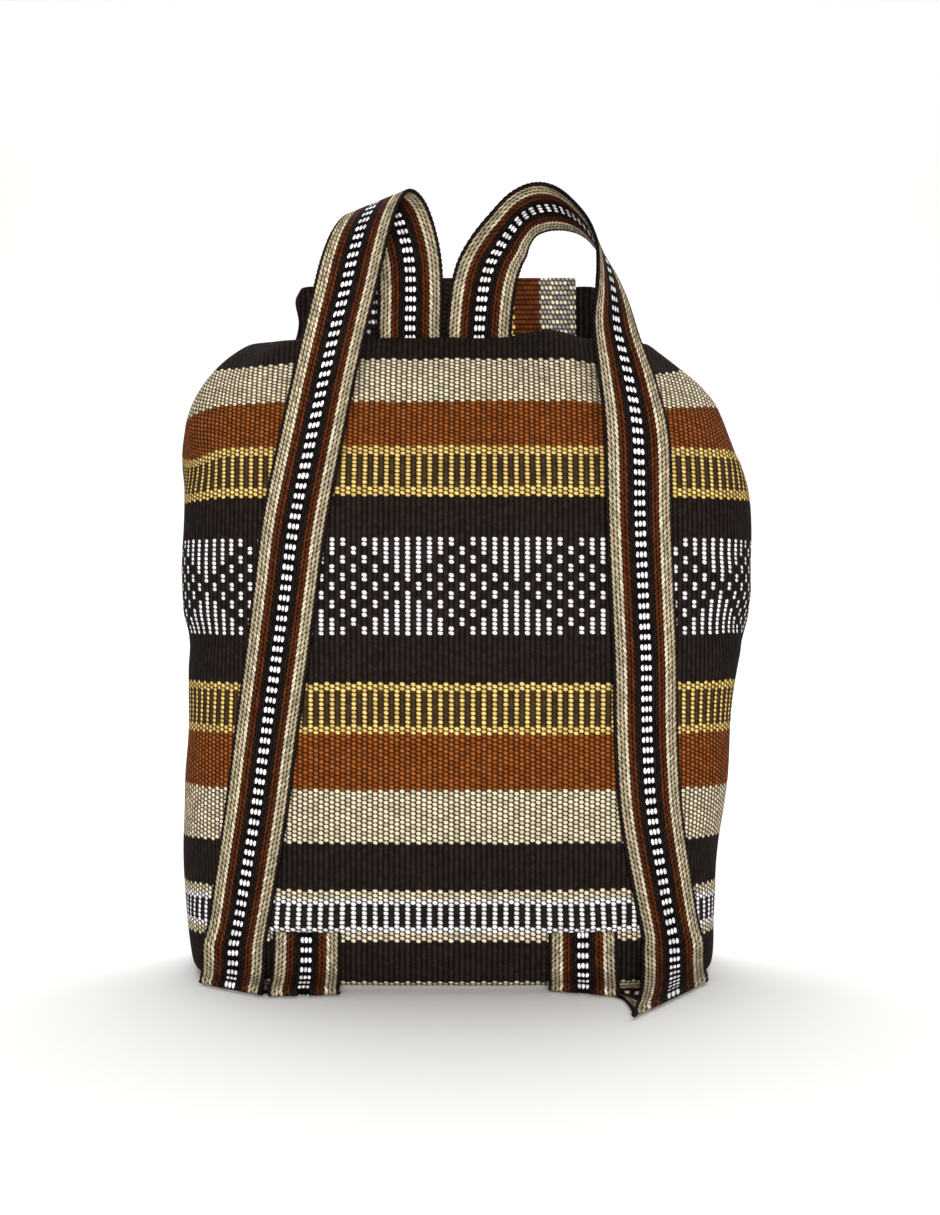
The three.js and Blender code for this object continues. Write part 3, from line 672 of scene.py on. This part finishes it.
def panel_edges(panel):
    """Both edges on the panel: the width lies along the panel's tangent, square to the strap's slope."""
    height, across, lift = panel.T
    x, z = across * HALF_WIDTH, height * BODY_HEIGHT
    ahead = np.minimum(np.arange(len(panel)) + 1, len(panel) - 1)
    behind = np.maximum(np.arange(len(panel)) - 1, 0)
    slope = -(x[ahead] - x[behind]) / (z[behind] - z[ahead])
    probe = STRAP_WIDTH / 4
    wide = unit(np.stack([
        np.full(len(x), 2 * probe), strap_y(x + probe, z) - strap_y(x - probe, z), np.zeros(len(x)),
    ], axis=1))
    wide[:, 2] = -slope
    wide = unit(wide) * STRAP_WIDTH / 2
    centre = np.stack([x, strap_y(x, z) - lift * STRAP_WIDTH, z], axis=1)
    return np.stack([centre - wide, centre + wide], axis=1)


def foot_edges(rows, foot, pivot, outward):
    """Both edges at rows of the foot: each leg hangs along the panel's tangent at its middle, and the
    cloth under the folds runs from the one leg's line to the other's."""
    middle = pivot * HALF_WIDTH + outward * STRAP_WIDTH * (foot[[0, -1], 0] + foot[[0, -1], 2]) / 2
    share = np.clip((foot[0, 0] - rows[:, 0]) / (foot[0, 0] - foot[-1, 0]), 0, 1)
    edges = []
    for out, ahead in ((rows[:, 0], rows[:, 1]), (rows[:, 2], rows[:, 3])):
        x = pivot * HALF_WIDTH + outward * out * STRAP_WIDTH
        hang = hang_y(x, middle[0]) * (1 - share) + hang_y(x, middle[1]) * share
        edges.append(np.stack([x, hang - ahead * STRAP_WIDTH, rows[:, 4] * STRAP_WIDTH], axis=1))
    return np.stack(edges, axis=1)


def strap_lines(loop, panel, foot, pivot, outward):
    """Both edge lines of a strap from its root to its sewn end, at a fixed small step."""
    pairs = np.concatenate([loop_edges(loop), panel_edges(panel)])
    if outward > 0:
        pairs = pairs[:, ::-1]
    # the sewn end rises straight up the panel from the foot
    end = foot[-1:].copy()
    end[:, 3] = end[:, 1]
    end[:, 4] = END_HEIGHT * BODY_HEIGHT / STRAP_WIDTH
    rows = np.concatenate([foot, end])
    pairs = np.concatenate([pairs, foot_edges(rows, foot, pivot, outward)])
    dense = np.linspace(0, len(pairs) - 1, 5000)
    lines = catmull(pairs, dense)
    run = np.concatenate([[0], np.cumsum(np.linalg.norm(np.diff(lines.mean(axis=1), axis=0), axis=1))])
    steps = np.linspace(0, run[-1], int(run[-1] / STRAP_STEP))
    lines = np.stack([
        np.stack([np.interp(steps, run, lines[:, e, c]) for c in range(3)], axis=1) for e in (0, 1)
    ], axis=1)
    if outward > 0:
        lines = lines[:, ::-1]
    return lines, steps


def webbing_section():
    """Outline of the webbing's section, once round: share across, and offset from its middle as a share of
    its thickness. The faces wave with the chains, and each edge is a rounded cord."""
    flat = np.linspace(0.02, 0.98, STRAP_COLUMNS)
    bead = np.array([-0.5, 0, 0.5]) * np.pi * 0.8
    right = 0.985 + 0.015 * np.cos(bead), np.sin(bead) * 0.42
    thick = 0.5 - 0.03 * np.cos(flat * np.pi * 26)
    across = np.concatenate([flat, right[0], flat[::-1], 1 - right[0][::-1]])
    offset = np.concatenate([-thick, right[1], thick[::-1], right[1][::-1]])
    return across, offset


def build_strap(name, node, lines, steps, material):
    """Webbing: the section carried along the strap between its two edge lines."""
    across, offset = webbing_section()
    wide = lines[:, 1] - lines[:, 0]
    along = np.gradient(lines.mean(axis=1), axis=0)
    normal = unit(np.cross(along, wide))
    scallop = EDGE_SCALLOP * np.sin(2 * np.pi * steps / CHAIN_PITCH)[:, None] / STRAP_WIDTH
    edge = np.abs(across - 0.5) > 0.48
    share = across[None] + np.where(edge, np.sign(across - 0.5), 0) * scallop
    points = lines[:, 0, None] + wide[:, None] * share[..., None]
    points = points - normal[:, None] * (offset * STRAP_THICK)[None, :, None]
    rows, columns = points.shape[:2]
    r = np.arange(rows - 1)[:, None]
    k = np.arange(columns)[None]
    after = (k + 1) % columns
    a, b = r * columns + k, r * columns + after
    quads = np.stack([a, a + columns, b + columns, b], axis=2).reshape(-1, 4)
    last = (rows - 1) * columns
    caps = [list(range(columns)), list(range(last + columns - 1, last - 1, -1))]
    u = np.broadcast_to(across * STRAP_WIDTH, (rows, columns)).reshape(-1)
    v = np.repeat(steps, columns)
    flat = np.stack([u, v], axis=1)
    corner = np.concatenate([flat[quads].reshape(-1, 2), flat[caps[0]], flat[caps[1]]])
    return make_piece(
        name, points.reshape(-1, 3), quads.tolist() + caps, corner, material, node,
    )


def flap_lines():
    """Middle line of the flap: over the neck by its table, then down the far side of the sack. Gives for
    each row and column the point."""
    lift = FLAP_THICK / 2 + CLOTH_GAP
    neck_top = BODY_HEIGHT + NECK_ROWS[-1, 0] * NECK_RISE + lift
    near = NECK_BACK - NECK_HALF_DEPTH - PLEAT_DEPTH - lift
    far = NECK_BACK + NECK_HALF_DEPTH + PLEAT_DEPTH + lift
    over, aside, rise, above = FLAP_ROWS.T
    path = np.stack([
        near + (far - near) * over + aside * FLAP_THICK,
        BODY_HEIGHT + (neck_top - BODY_HEIGHT) * rise + above * FLAP_THICK,
    ], axis=1)
    top = catmull(path, np.linspace(0, len(path) - 1, FLAP_TOP_ROWS))
    x = FLAP_SHIFT + FLAP_WIDTH * (np.linspace(0, 1, FLAP_COLUMNS) - 0.5)
    grid = np.stack([
        np.broadcast_to(x, (len(top), len(x))),
        np.repeat(top[:, :1], len(x), 1), np.repeat(top[:, 1:], len(x), 1),
    ], axis=2)
    share = np.linspace(0, 1, FLAP_HANG_ROWS)[1:, None]
    z = top[-1, 1] + (BODY_HEIGHT - FLAP_DROP - top[-1, 1]) * share
    settle = np.minimum(1, share / FLAP_SETTLE)
    pleat = np.interp(z, SACK_RINGS[:, 4], SACK_RINGS[:, 6]) * PLEAT_DEPTH
    on_body = surface_y(x[None], z, 1) + lift + pleat
    y = np.maximum(top[-1, 0], on_body) * (1 - settle) + on_body * settle
    hang = np.stack([np.broadcast_to(x, y.shape), y, np.broadcast_to(z, y.shape)], axis=2)
    return np.concatenate([grid, hang])


def build_flap(material):
    """Flap: a sheet over the neck, half its thickness to each side, closed round its edges."""
    middle = flap_lines()
    along, across = np.gradient(middle, axis=0), np.gradient(middle, axis=1)
    normal = unit(np.cross(across, along))
    run = np.linalg.norm(np.diff(middle[:, middle.shape[1] // 2], axis=0), axis=1)
    length = np.concatenate([[0], np.cumsum(run)])
    rows, columns = middle.shape[:2]
    skins = np.concatenate([middle + normal * FLAP_THICK / 2, middle - normal * FLAP_THICK / 2])
    points = skins.reshape(-1, 3)
    count = rows * columns
    i = np.arange(rows - 1)[:, None]
    j = np.arange(columns - 1)[None]
    a = i * columns + j
    top = np.stack([a, a + 1, a + columns + 1, a + columns], axis=2).reshape(-1, 4)
    under = top[:, ::-1] + count
    r = np.arange(rows - 1) * columns
    side_low = np.stack([r, r + columns, r + columns + count, r + count], axis=1)
    end = r + columns - 1
    side_high = np.stack([end, end + count, end + columns + count, end + columns], axis=1)
    c = np.arange(columns - 1)
    root = np.stack([c, c + count, c + 1 + count, c + 1], axis=1)
    last = (rows - 1) * columns + c
    hem = np.stack([last, last + 1, last + 1 + count, last + count], axis=1)
    quads = np.concatenate([top, under, side_low, side_high, root, hem])
    u = np.tile(np.linspace(0, FLAP_WIDTH, columns), rows * 2)
    v = np.tile(np.repeat(length, columns), 2)
    corner = np.stack([u, v], axis=1)[quads].reshape(-1, 2)
    piece = make_piece("flap_cloth", points, quads.tolist(), corner, material, "top_flap")
    return piece


def add(tree, kind, links=None, **settings):
    """Adds a node with its settings, and sets or links its inputs by name or number."""
    node = tree.nodes.new(kind)
    for name, value in settings.items():
        setattr(node, name, value)
    for key, value in (links or {}).items():
        if isinstance(value, bpy.types.NodeSocket):
            tree.links.new(value, node.inputs[key])
        else:
            node.inputs[key].default_value = value
    return node


def paint_ramp(node, stops, interpolation="CONSTANT"):
    """Fills a colour ramp's stops, given as (place, colour)."""
    ramp = node.color_ramp
    ramp.interpolation = interpolation
    while len(ramp.elements) > 1:
        ramp.elements.remove(ramp.elements[-1])
    ramp.elements[0].position = 0
    ramp.elements[0].color = stops[0][1]
    for place, colour in stops[1:]:
        ramp.elements.new(place).color = colour


def new_material(name):
    """Empty material and its node tree."""
    material = bpy.data.materials.new(name)
    material.use_nodes = True
    material.node_tree.nodes.clear()
    return material, material.node_tree


def band_stops(bands, column):
    """Stops of one ramp over all the rows of a band table, for the yarn in that column of it."""
    starts = np.cumsum([0] + [band[0] for band in bands])
    return [(float(start / starts[-1]), linear(band[column])) for start, band in zip(starts, bands)]


def cloth_material(name, bands, diamond, upright):
    """Back-strap loom cloth of cotton and acrylic yarn: each thread shows as a bead on every second rib,
    which gives rows of small dull beads with painted shade in the gaps and a painted highlight on each
    bead's top, and on dark yarn only the ribs."""
    material, tree = new_material(name)
    uv = add(tree, "ShaderNodeUVMap", uv_map="cloth")
    source = uv
    total = sum(band[0] for band in bands)
    middle = sum(band[0] for band in bands[:diamond]) + DIAMOND_ROWS // 2
    shift = middle * ROW_PITCH
    if upright:
        turned = add(tree, "ShaderNodeSeparateXYZ", {0: uv.outputs[0]})
        source = add(tree, "ShaderNodeCombineXYZ", {0: turned.outputs[1], 1: turned.outputs[0]})
        shift = 0.0
    # threads wander a little, so that neither the beads nor the bands are ruled lines
    slow = add(tree, "ShaderNodeTexNoise", {"Vector": source.outputs[0], "Scale": 0.03, "Detail": 2.0})
    quick = add(tree, "ShaderNodeTexNoise", {"Vector": source.outputs[0], "Scale": 0.35, "Detail": 1.0})
    wander = add(tree, "ShaderNodeVectorMath", {0: slow.outputs["Color"], 1: (0.5, 0.5, 0.5)},
                 operation="SUBTRACT")
    wander = add(tree, "ShaderNodeVectorMath", {0: wander.outputs[0], 1: CLOTH_WANDER},
                 operation="MULTIPLY")
    quiver = add(tree, "ShaderNodeVectorMath", {0: quick.outputs["Color"], 1: (0.5, 0.5, 0.5)},
                 operation="SUBTRACT")
    quiver = add(tree, "ShaderNodeVectorMath", {0: quiver.outputs[0], 1: CLOTH_QUIVER},
                 operation="MULTIPLY")
    place = add(tree, "ShaderNodeVectorMath", {0: source.outputs[0], 1: wander.outputs[0]}, operation="ADD")
    place = add(tree, "ShaderNodeVectorMath", {0: place.outputs[0], 1: quiver.outputs[0]}, operation="ADD")
    axes = add(tree, "ShaderNodeSeparateXYZ", {0: place.outputs[0]})
    ribs = add(tree, "ShaderNodeMath", {0: axes.outputs[0], 1: DIAMOND_SHIFT}, operation="ADD")
    ribs = add(tree, "ShaderNodeMath", {0: ribs.outputs[0], 1: RIB_PITCH}, operation="DIVIDE")
    rows = add(tree, "ShaderNodeMath", {0: axes.outputs[1], 1: shift}, operation="ADD")
    rows = add(tree, "ShaderNodeMath", {0: rows.outputs[0], 1: ROW_PITCH}, operation="DIVIDE")
    rib = add(tree, "ShaderNodeMath", {0: ribs.outputs[0]}, operation="FLOOR")
    rib_part = add(tree, "ShaderNodeMath", {0: ribs.outputs[0]}, operation="FRACT")
    odd = add(tree, "ShaderNodeMath", {0: rib.outputs[0], 1: 2.0}, operation="FLOORED_MODULO")
    moved = add(tree, "ShaderNodeMath", {0: odd.outputs[0], 1: 0.5, 2: rows.outputs[0]},
                operation="MULTIPLY_ADD")
    row = add(tree, "ShaderNodeMath", {0: moved.outputs[0]}, operation="FLOOR")
    row_part = add(tree, "ShaderNodeMath", {0: moved.outputs[0]}, operation="FRACT")
    # a bead is a low dome over one rib and one row, and slants a little
    side = add(tree, "ShaderNodeMath", {0: rib_part.outputs[0], 1: 2.0, 2: -1.0}, operation="MULTIPLY_ADD")
    rise = add(tree, "ShaderNodeMath", {0: row_part.outputs[0], 1: 2.0, 2: -1.0}, operation="MULTIPLY_ADD")
    rise = add(tree, "ShaderNodeMath", {0: side.outputs[0], 1: BEAD_SLANT, 2: rise.outputs[0]},
               operation="MULTIPLY_ADD")
    side = add(tree, "ShaderNodeMath", {0: side.outputs[0], 1: side.outputs[0]}, operation="MULTIPLY")
    rise = add(tree, "ShaderNodeMath", {0: rise.outputs[0], 1: rise.outputs[0]}, operation="MULTIPLY")
    # the yarn of a bead comes from the ramps, read at the middle of its row
    mid = add(tree, "ShaderNodeMath", {0: odd.outputs[0], 1: -0.5, 2: 0.5}, operation="MULTIPLY_ADD")
    mid = add(tree, "ShaderNodeMath", {0: row.outputs[0], 1: mid.outputs[0]}, operation="ADD")
    at = add(tree, "ShaderNodeMath", {0: mid.outputs[0], 1: 1 / total}, operation="MULTIPLY")
    even_yarn = add(tree, "ShaderNodeValToRGB", {0: at.outputs[0]})
    paint_ramp(even_yarn, band_stops(bands, 1))
    odd_yarn = add(tree, "ShaderNodeValToRGB", {0: at.outputs[0]})
    paint_ramp(odd_yarn, band_stops(bands, 2))
    # concentric diamonds of ten even ribs: d even ribs aside and q pairs of rows up or down from the
    # middle, a bead is black where q + d is 1, 3 or 5
    column = add(tree, "ShaderNodeMath", {0: rib.outputs[0], 1: 0.5}, operation="MULTIPLY")
    column = add(tree, "ShaderNodeMath", {0: column.outputs[0], 1: 5.0}, operation="ADD")
    column = add(tree, "ShaderNodeMath", {0: column.outputs[0], 1: 10.0}, operation="FLOORED_MODULO")
    column = add(tree, "ShaderNodeMath", {0: column.outputs[0], 1: 5.0}, operation="SUBTRACT")
    aside = add(tree, "ShaderNodeMath", {0: column.outputs[0]}, operation="ABSOLUTE")
    level = add(tree, "ShaderNodeMath", {0: row.outputs[0], 1: middle + 0.5}, operation="SUBTRACT")
    level = add(tree, "ShaderNodeMath", {0: level.outputs[0]}, operation="ABSOLUTE")
    level = add(tree, "ShaderNodeMath", {0: level.outputs[0], 1: 0.5, 2: 0.25}, operation="MULTIPLY_ADD")
    level = add(tree, "ShaderNodeMath", {0: level.outputs[0]}, operation="FLOOR")
    reach = add(tree, "ShaderNodeMath", {0: aside.outputs[0], 1: level.outputs[0]}, operation="ADD")
    turn = add(tree, "ShaderNodeMath", {0: reach.outputs[0], 1: 2.0}, operation="FLOORED_MODULO")
    turn = add(tree, "ShaderNodeMath", {0: turn.outputs[0], 1: 0.5}, operation="GREATER_THAN")
    inside = add(tree, "ShaderNodeMath", {0: reach.outputs[0], 1: 5.5}, operation="LESS_THAN")
    filled = add(tree, "ShaderNodeMath", {0: inside.outputs[0], 1: turn.outputs[0]}, operation="MULTIPLY")
    charted = add(tree, "ShaderNodeMix", {0: filled.outputs[0], 6: even_yarn.outputs[0], 7: linear(BLACK)},
                  data_type="RGBA")
    yarn = add(tree, "ShaderNodeMix", {0: odd.outputs[0], 6: charted.outputs[2], 7: odd_yarn.outputs[0]},
               data_type="RGBA")
    # light yarn lies in separate beads, and dark yarn in ribs that hardly show their threads
    bright = add(tree, "ShaderNodeRGBToBW", {0: yarn.outputs[2]})
    beaded = add(tree, "ShaderNodeMapRange", {0: bright.outputs[0], 1: 0.01, 2: 0.08, 3: 0.25, 4: 1.1})
    rise = add(tree, "ShaderNodeMath", {0: rise.outputs[0], 1: beaded.outputs[0]}, operation="MULTIPLY")
    both = add(tree, "ShaderNodeMath", {0: side.outputs[0], 1: 0.95, 2: rise.outputs[0]},
               operation="MULTIPLY_ADD")
    dome = add(tree, "ShaderNodeMath", {0: 1.0, 1: both.outputs[0]}, operation="SUBTRACT", use_clamp=True)
    dome = add(tree, "ShaderNodeMath", {0: dome.outputs[0], 1: 0.8}, operation="POWER")
    # dye and tone vary at random from bead to bead; shade is painted into the gaps between beads, deeper
    # beside light yarn, and a painted highlight brightens each bead's top
    cell = add(tree, "ShaderNodeCombineXYZ", {0: rib.outputs[0], 1: row.outputs[0]})
    grain = add(tree, "ShaderNodeTexWhiteNoise", {"Vector": cell.outputs[0]}, noise_dimensions="3D")
    tone = add(tree, "ShaderNodeMapRange", {0: grain.outputs["Value"], 3: 0.66, 4: 1.14})
    gap = add(tree, "ShaderNodeMapRange", {0: bright.outputs[0], 1: 0.01, 2: 0.3, 3: 0.2, 4: 0.05})
    shade = add(tree, "ShaderNodeMapRange", {0: dome.outputs[0], 1: 0.0, 2: 0.85, 3: gap.outputs[0], 4: 1.45})
    light = add(tree, "ShaderNodeMath", {0: tone.outputs[0], 1: shade.outputs[0]}, operation="MULTIPLY")
    colour = add(tree, "ShaderNodeVectorMath", {0: yarn.outputs[2], 3: light.outputs[0]}, operation="SCALE")
    fluff = add(tree, "ShaderNodeTexNoise", {"Vector": source.outputs[0], "Scale": 3.2, "Detail": 3.0})
    height = add(tree, "ShaderNodeMath", {0: fluff.outputs[0], 1: 0.2, 2: dome.outputs[0]},
                 operation="MULTIPLY_ADD")
    height = add(tree, "ShaderNodeMath", {0: side.outputs[0], 1: -0.5, 2: height.outputs[0]},
                 operation="MULTIPLY_ADD")
    bump = add(tree, "ShaderNodeBump", {
        "Strength": 0.9, "Distance": CLOTH_RELIEF, "Height": height.outputs[0],
    })
    shader = add(tree, "ShaderNodeBsdfPrincipled", {
        "Base Color": colour.outputs[0], "Roughness": 0.9, "Normal": bump.outputs[0],
        "Specular IOR Level": YARN_GLOSS,
    })
    output = add(tree, "ShaderNodeOutputMaterial")
    tree.links.new(shader.outputs[0], output.inputs[0])
    return material


def webbing_material(name):
    """Warp-faced cotton webbing: chains of slanting warp along the strap, with white beads floating on
    black down the middle, which gives a firm knotty look."""
    material, tree = new_material(name)
    uv = add(tree, "ShaderNodeUVMap", uv_map="cloth")
    quick = add(tree, "ShaderNodeTexNoise", {"Vector": uv.outputs[0], "Scale": 0.4, "Detail": 1.0})
    quiver = add(tree, "ShaderNodeVectorMath", {0: quick.outputs["Color"], 1: (0.5, 0.5, 0.5)},
                 operation="SUBTRACT")
    quiver = add(tree, "ShaderNodeVectorMath", {0: quiver.outputs[0], 1: WEBBING_QUIVER},
                 operation="MULTIPLY")
    place = add(tree, "ShaderNodeVectorMath", {0: uv.outputs[0], 1: quiver.outputs[0]}, operation="ADD")
    axes = add(tree, "ShaderNodeSeparateXYZ", {0: place.outputs[0]})
    share = add(tree, "ShaderNodeMath", {0: axes.outputs[0], 1: 1 / STRAP_WIDTH}, operation="MULTIPLY")
    edges = [float(edge) for edge in np.cumsum([0] + [stripe[0] for stripe in STRIPES]) / STRAP_WIDTH]
    chains = np.cumsum([0] + [stripe[1] for stripe in STRIPES])
    yarn = add(tree, "ShaderNodeValToRGB", {0: share.outputs[0]})
    paint_ramp(yarn, [(edge, linear(stripe[2])) for edge, stripe in zip(edges, STRIPES)])
    white = add(tree, "ShaderNodeValToRGB", {0: share.outputs[0]})
    paint_ramp(white, [
        (edge, (1, 1, 1, 1) if stripe[2] == WHITE else (0, 0, 0, 1)) for edge, stripe in zip(edges, STRIPES)
    ])
    # the ramp counts the chains from edge to edge, so that each stripe holds whole ones
    counted = add(tree, "ShaderNodeValToRGB", {0: share.outputs[0]})
    paint_ramp(counted, [(edge, (*[float(n / chains[-1])] * 3, 1)) for edge, n in zip(edges, chains)],
               "LINEAR")
    columns = add(tree, "ShaderNodeMath", {0: counted.outputs[0], 1: float(chains[-1])}, operation="MULTIPLY")
    column = add(tree, "ShaderNodeMath", {0: columns.outputs[0]}, operation="FLOOR")
    across = add(tree, "ShaderNodeMath", {0: columns.outputs[0]}, operation="FRACT")
    odd = add(tree, "ShaderNodeMath", {0: column.outputs[0], 1: 2.0}, operation="FLOORED_MODULO")
    side = add(tree, "ShaderNodeMath", {0: across.outputs[0], 1: 2.0, 2: -1.0}, operation="MULTIPLY_ADD")
    # the threads of a chain slant towards the middle of the webbing
    way = add(tree, "ShaderNodeMath", {0: share.outputs[0], 1: 0.5}, operation="GREATER_THAN")
    way = add(tree, "ShaderNodeMath", {0: way.outputs[0], 1: 1.0, 2: -0.5}, operation="MULTIPLY_ADD")
    slant = add(tree, "ShaderNodeMath", {0: way.outputs[0], 1: side.outputs[0]}, operation="MULTIPLY")
    slant = add(tree, "ShaderNodeMath", {0: odd.outputs[0], 1: 0.5, 2: slant.outputs[0]},
                operation="MULTIPLY_ADD")
    along = add(tree, "ShaderNodeMath", {0: axes.outputs[1], 1: 1 / CHAIN_PITCH, 2: slant.outputs[0]},
                operation="MULTIPLY_ADD")
    link_part = add(tree, "ShaderNodeMath", {0: along.outputs[0]}, operation="FRACT")
    bars = add(tree, "ShaderNodeMath", {0: axes.outputs[1], 1: 1 / BAR_PITCH}, operation="MULTIPLY")
    bar_part = add(tree, "ShaderNodeMath", {0: bars.outputs[0]}, operation="FRACT")
    bar_part = add(tree, "ShaderNodeMath", {0: bar_part.outputs[0], 1: BAR_PITCH / BEAD_LENGTH},
                   operation="MULTIPLY")
    part = add(tree, "ShaderNodeMix", {0: white.outputs[0], 2: link_part.outputs[0], 3: bar_part.outputs[0]})
    side = add(tree, "ShaderNodeMath", {0: side.outputs[0], 1: side.outputs[0]}, operation="MULTIPLY")
    rise = add(tree, "ShaderNodeMath", {0: part.outputs[0], 1: 2.0, 2: -1.0}, operation="MULTIPLY_ADD")
    rise = add(tree, "ShaderNodeMath", {0: rise.outputs[0], 1: rise.outputs[0]}, operation="MULTIPLY")
    both = add(tree, "ShaderNodeMath", {0: side.outputs[0], 1: rise.outputs[0]}, operation="ADD")
    dome = add(tree, "ShaderNodeMath", {0: 1.1, 1: both.outputs[0]}, operation="SUBTRACT", use_clamp=True)
    dome = add(tree, "ShaderNodeMath", {0: dome.outputs[0], 1: 0.8}, operation="POWER")
    bare = add(tree, "ShaderNodeMath", {0: dome.outputs[0], 1: 0.45}, operation="LESS_THAN")
    gap = add(tree, "ShaderNodeMath", {0: bare.outputs[0], 1: white.outputs[0]}, operation="MULTIPLY")
    yarn = add(tree, "ShaderNodeMix", {0: gap.outputs[0], 6: yarn.outputs[0], 7: linear(BLACK)},
               data_type="RGBA")
    # tone varies at random from bead to bead; shade is painted into the gaps between the beads, and a painted
    # highlight brightens their tops
    cell = add(tree, "ShaderNodeMath", {0: along.outputs[0]}, operation="FLOOR")
    cell = add(tree, "ShaderNodeCombineXYZ", {0: column.outputs[0], 1: cell.outputs[0]})
    grain = add(tree, "ShaderNodeTexWhiteNoise", {"Vector": cell.outputs[0]}, noise_dimensions="3D")
    tone = add(tree, "ShaderNodeMapRange", {0: grain.outputs["Value"], 3: 0.6, 4: 1.25})
    shade = add(tree, "ShaderNodeMapRange", {0: dome.outputs[0], 1: 0.0, 2: 0.85, 3: 0.06, 4: 1.25})
    light = add(tree, "ShaderNodeMath", {0: tone.outputs[0], 1: shade.outputs[0]}, operation="MULTIPLY")
    colour = add(tree, "ShaderNodeVectorMath", {0: yarn.outputs[2], 3: light.outputs[0]}, operation="SCALE")
    fluff = add(tree, "ShaderNodeTexNoise", {"Vector": uv.outputs[0], "Scale": 3.0, "Detail": 3.0})
    height = add(tree, "ShaderNodeMath", {0: fluff.outputs[0], 1: 0.2, 2: dome.outputs[0]},
                 operation="MULTIPLY_ADD")
    bump = add(tree, "ShaderNodeBump", {
        "Strength": 0.9, "Distance": WEBBING_RELIEF, "Height": height.outputs[0],
    })
    shader = add(tree, "ShaderNodeBsdfPrincipled", {
        "Base Color": colour.outputs[0], "Roughness": 0.85, "Normal": bump.outputs[0],
        "Specular IOR Level": YARN_GLOSS,
    })
    output = add(tree, "ShaderNodeOutputMaterial")
    tree.links.new(shader.outputs[0], output.inputs[0])
    return material


def build_studio():
    """Floor that rises into a backdrop far behind, a pale sky, one soft lamp near the camera and one above
    the sweep."""
    x = np.array([-4.0, 4.0])
    bend = np.linspace(0, np.pi / 2, 16)
    profile = np.concatenate([
        [(-3.0, 0.0)], np.stack([1.5 + np.sin(bend), 1 - np.cos(bend)], axis=1), [(2.5, 4.0)],
    ])
    points = np.stack([
        np.tile(x, len(profile)), np.repeat(profile[:, 0], 2), np.repeat(profile[:, 1], 2),
    ], axis=1)
    a = np.arange(len(profile) - 1) * 2
    quads = np.stack([a, a + 1, a + 3, a + 2], axis=1)
    mesh = bpy.data.meshes.new("floor")
    mesh.from_pydata(points.tolist(), [], quads.tolist())
    mesh.polygons.foreach_set("use_smooth", np.ones(len(quads), bool))
    floor = bpy.data.objects.new("floor", mesh)
    bpy.context.scene.collection.objects.link(floor)
    material, tree = new_material("matt_white_sweep")
    shader = add(tree, "ShaderNodeBsdfPrincipled", {
        "Base Color": linear(SWEEP_WHITE), "Roughness": 0.9, "Specular IOR Level": 0.1,
    })
    output = add(tree, "ShaderNodeOutputMaterial")
    tree.links.new(shader.outputs[0], output.inputs[0])
    mesh.materials.append(material)
    world = bpy.data.worlds.new("studio")
    world.use_nodes = True
    world.node_tree.nodes["Background"].inputs[0].default_value = (1, 1, 1, 1)
    world.node_tree.nodes["Background"].inputs[1].default_value = SKY_LIGHT
    bpy.context.scene.world = world
    for name, size, energy, place in LAMPS:
        lamp = bpy.data.lights.new(name, "AREA")
        lamp.size = size
        lamp.energy = energy
        light = bpy.data.objects.new(name, lamp)
        light.location = place
        target = np.array(LAMP_TARGET) - np.array(place)
        light.rotation_mode = "QUATERNION"
        light.rotation_quaternion = Vector(target).to_track_quat("-Z", "Y")
        bpy.context.scene.collection.objects.link(light)


def build_camera():
    """Level camera in front of the strap panel. Its lens is the sensor times the panel's distance over the
    height that the frame shows there."""
    data = bpy.data.cameras.new("camera")
    data.sensor_width = SENSOR_WIDTH
    data.lens = SENSOR_WIDTH * CAMERA_DISTANCE / FRAME_HEIGHT
    camera = bpy.data.objects.new("camera", data)
    camera.location = (CAMERA_ASIDE, -CAMERA_DISTANCE - HALF_DEPTH * MM, CAMERA_HIGH)
    camera.rotation_euler = (math.pi / 2, 0, 0)
    bpy.context.scene.collection.objects.link(camera)
    bpy.context.scene.camera = camera
    bpy.context.scene.view_settings.view_transform = "Standard"


build_camera()
build_studio()
build_body(cloth_material("loom_cloth", SACK_BANDS, SACK_DIAMOND, False))
build_flap(cloth_material("flap_loom_cloth", FLAP_BANDS, FLAP_DIAMOND, True))
webbing = webbing_material("cotton_webbing")
build_strap("webbing_left", "strap_left", *strap_lines(LEFT_LOOP, LEFT_PANEL, LEFT_FOOT, LEFT_PIVOT, -1),
            webbing)
build_strap("webbing_right", "strap_right",
            *strap_lines(RIGHT_LOOP, RIGHT_PANEL, RIGHT_FOOT, RIGHT_PIVOT, 1), webbing)
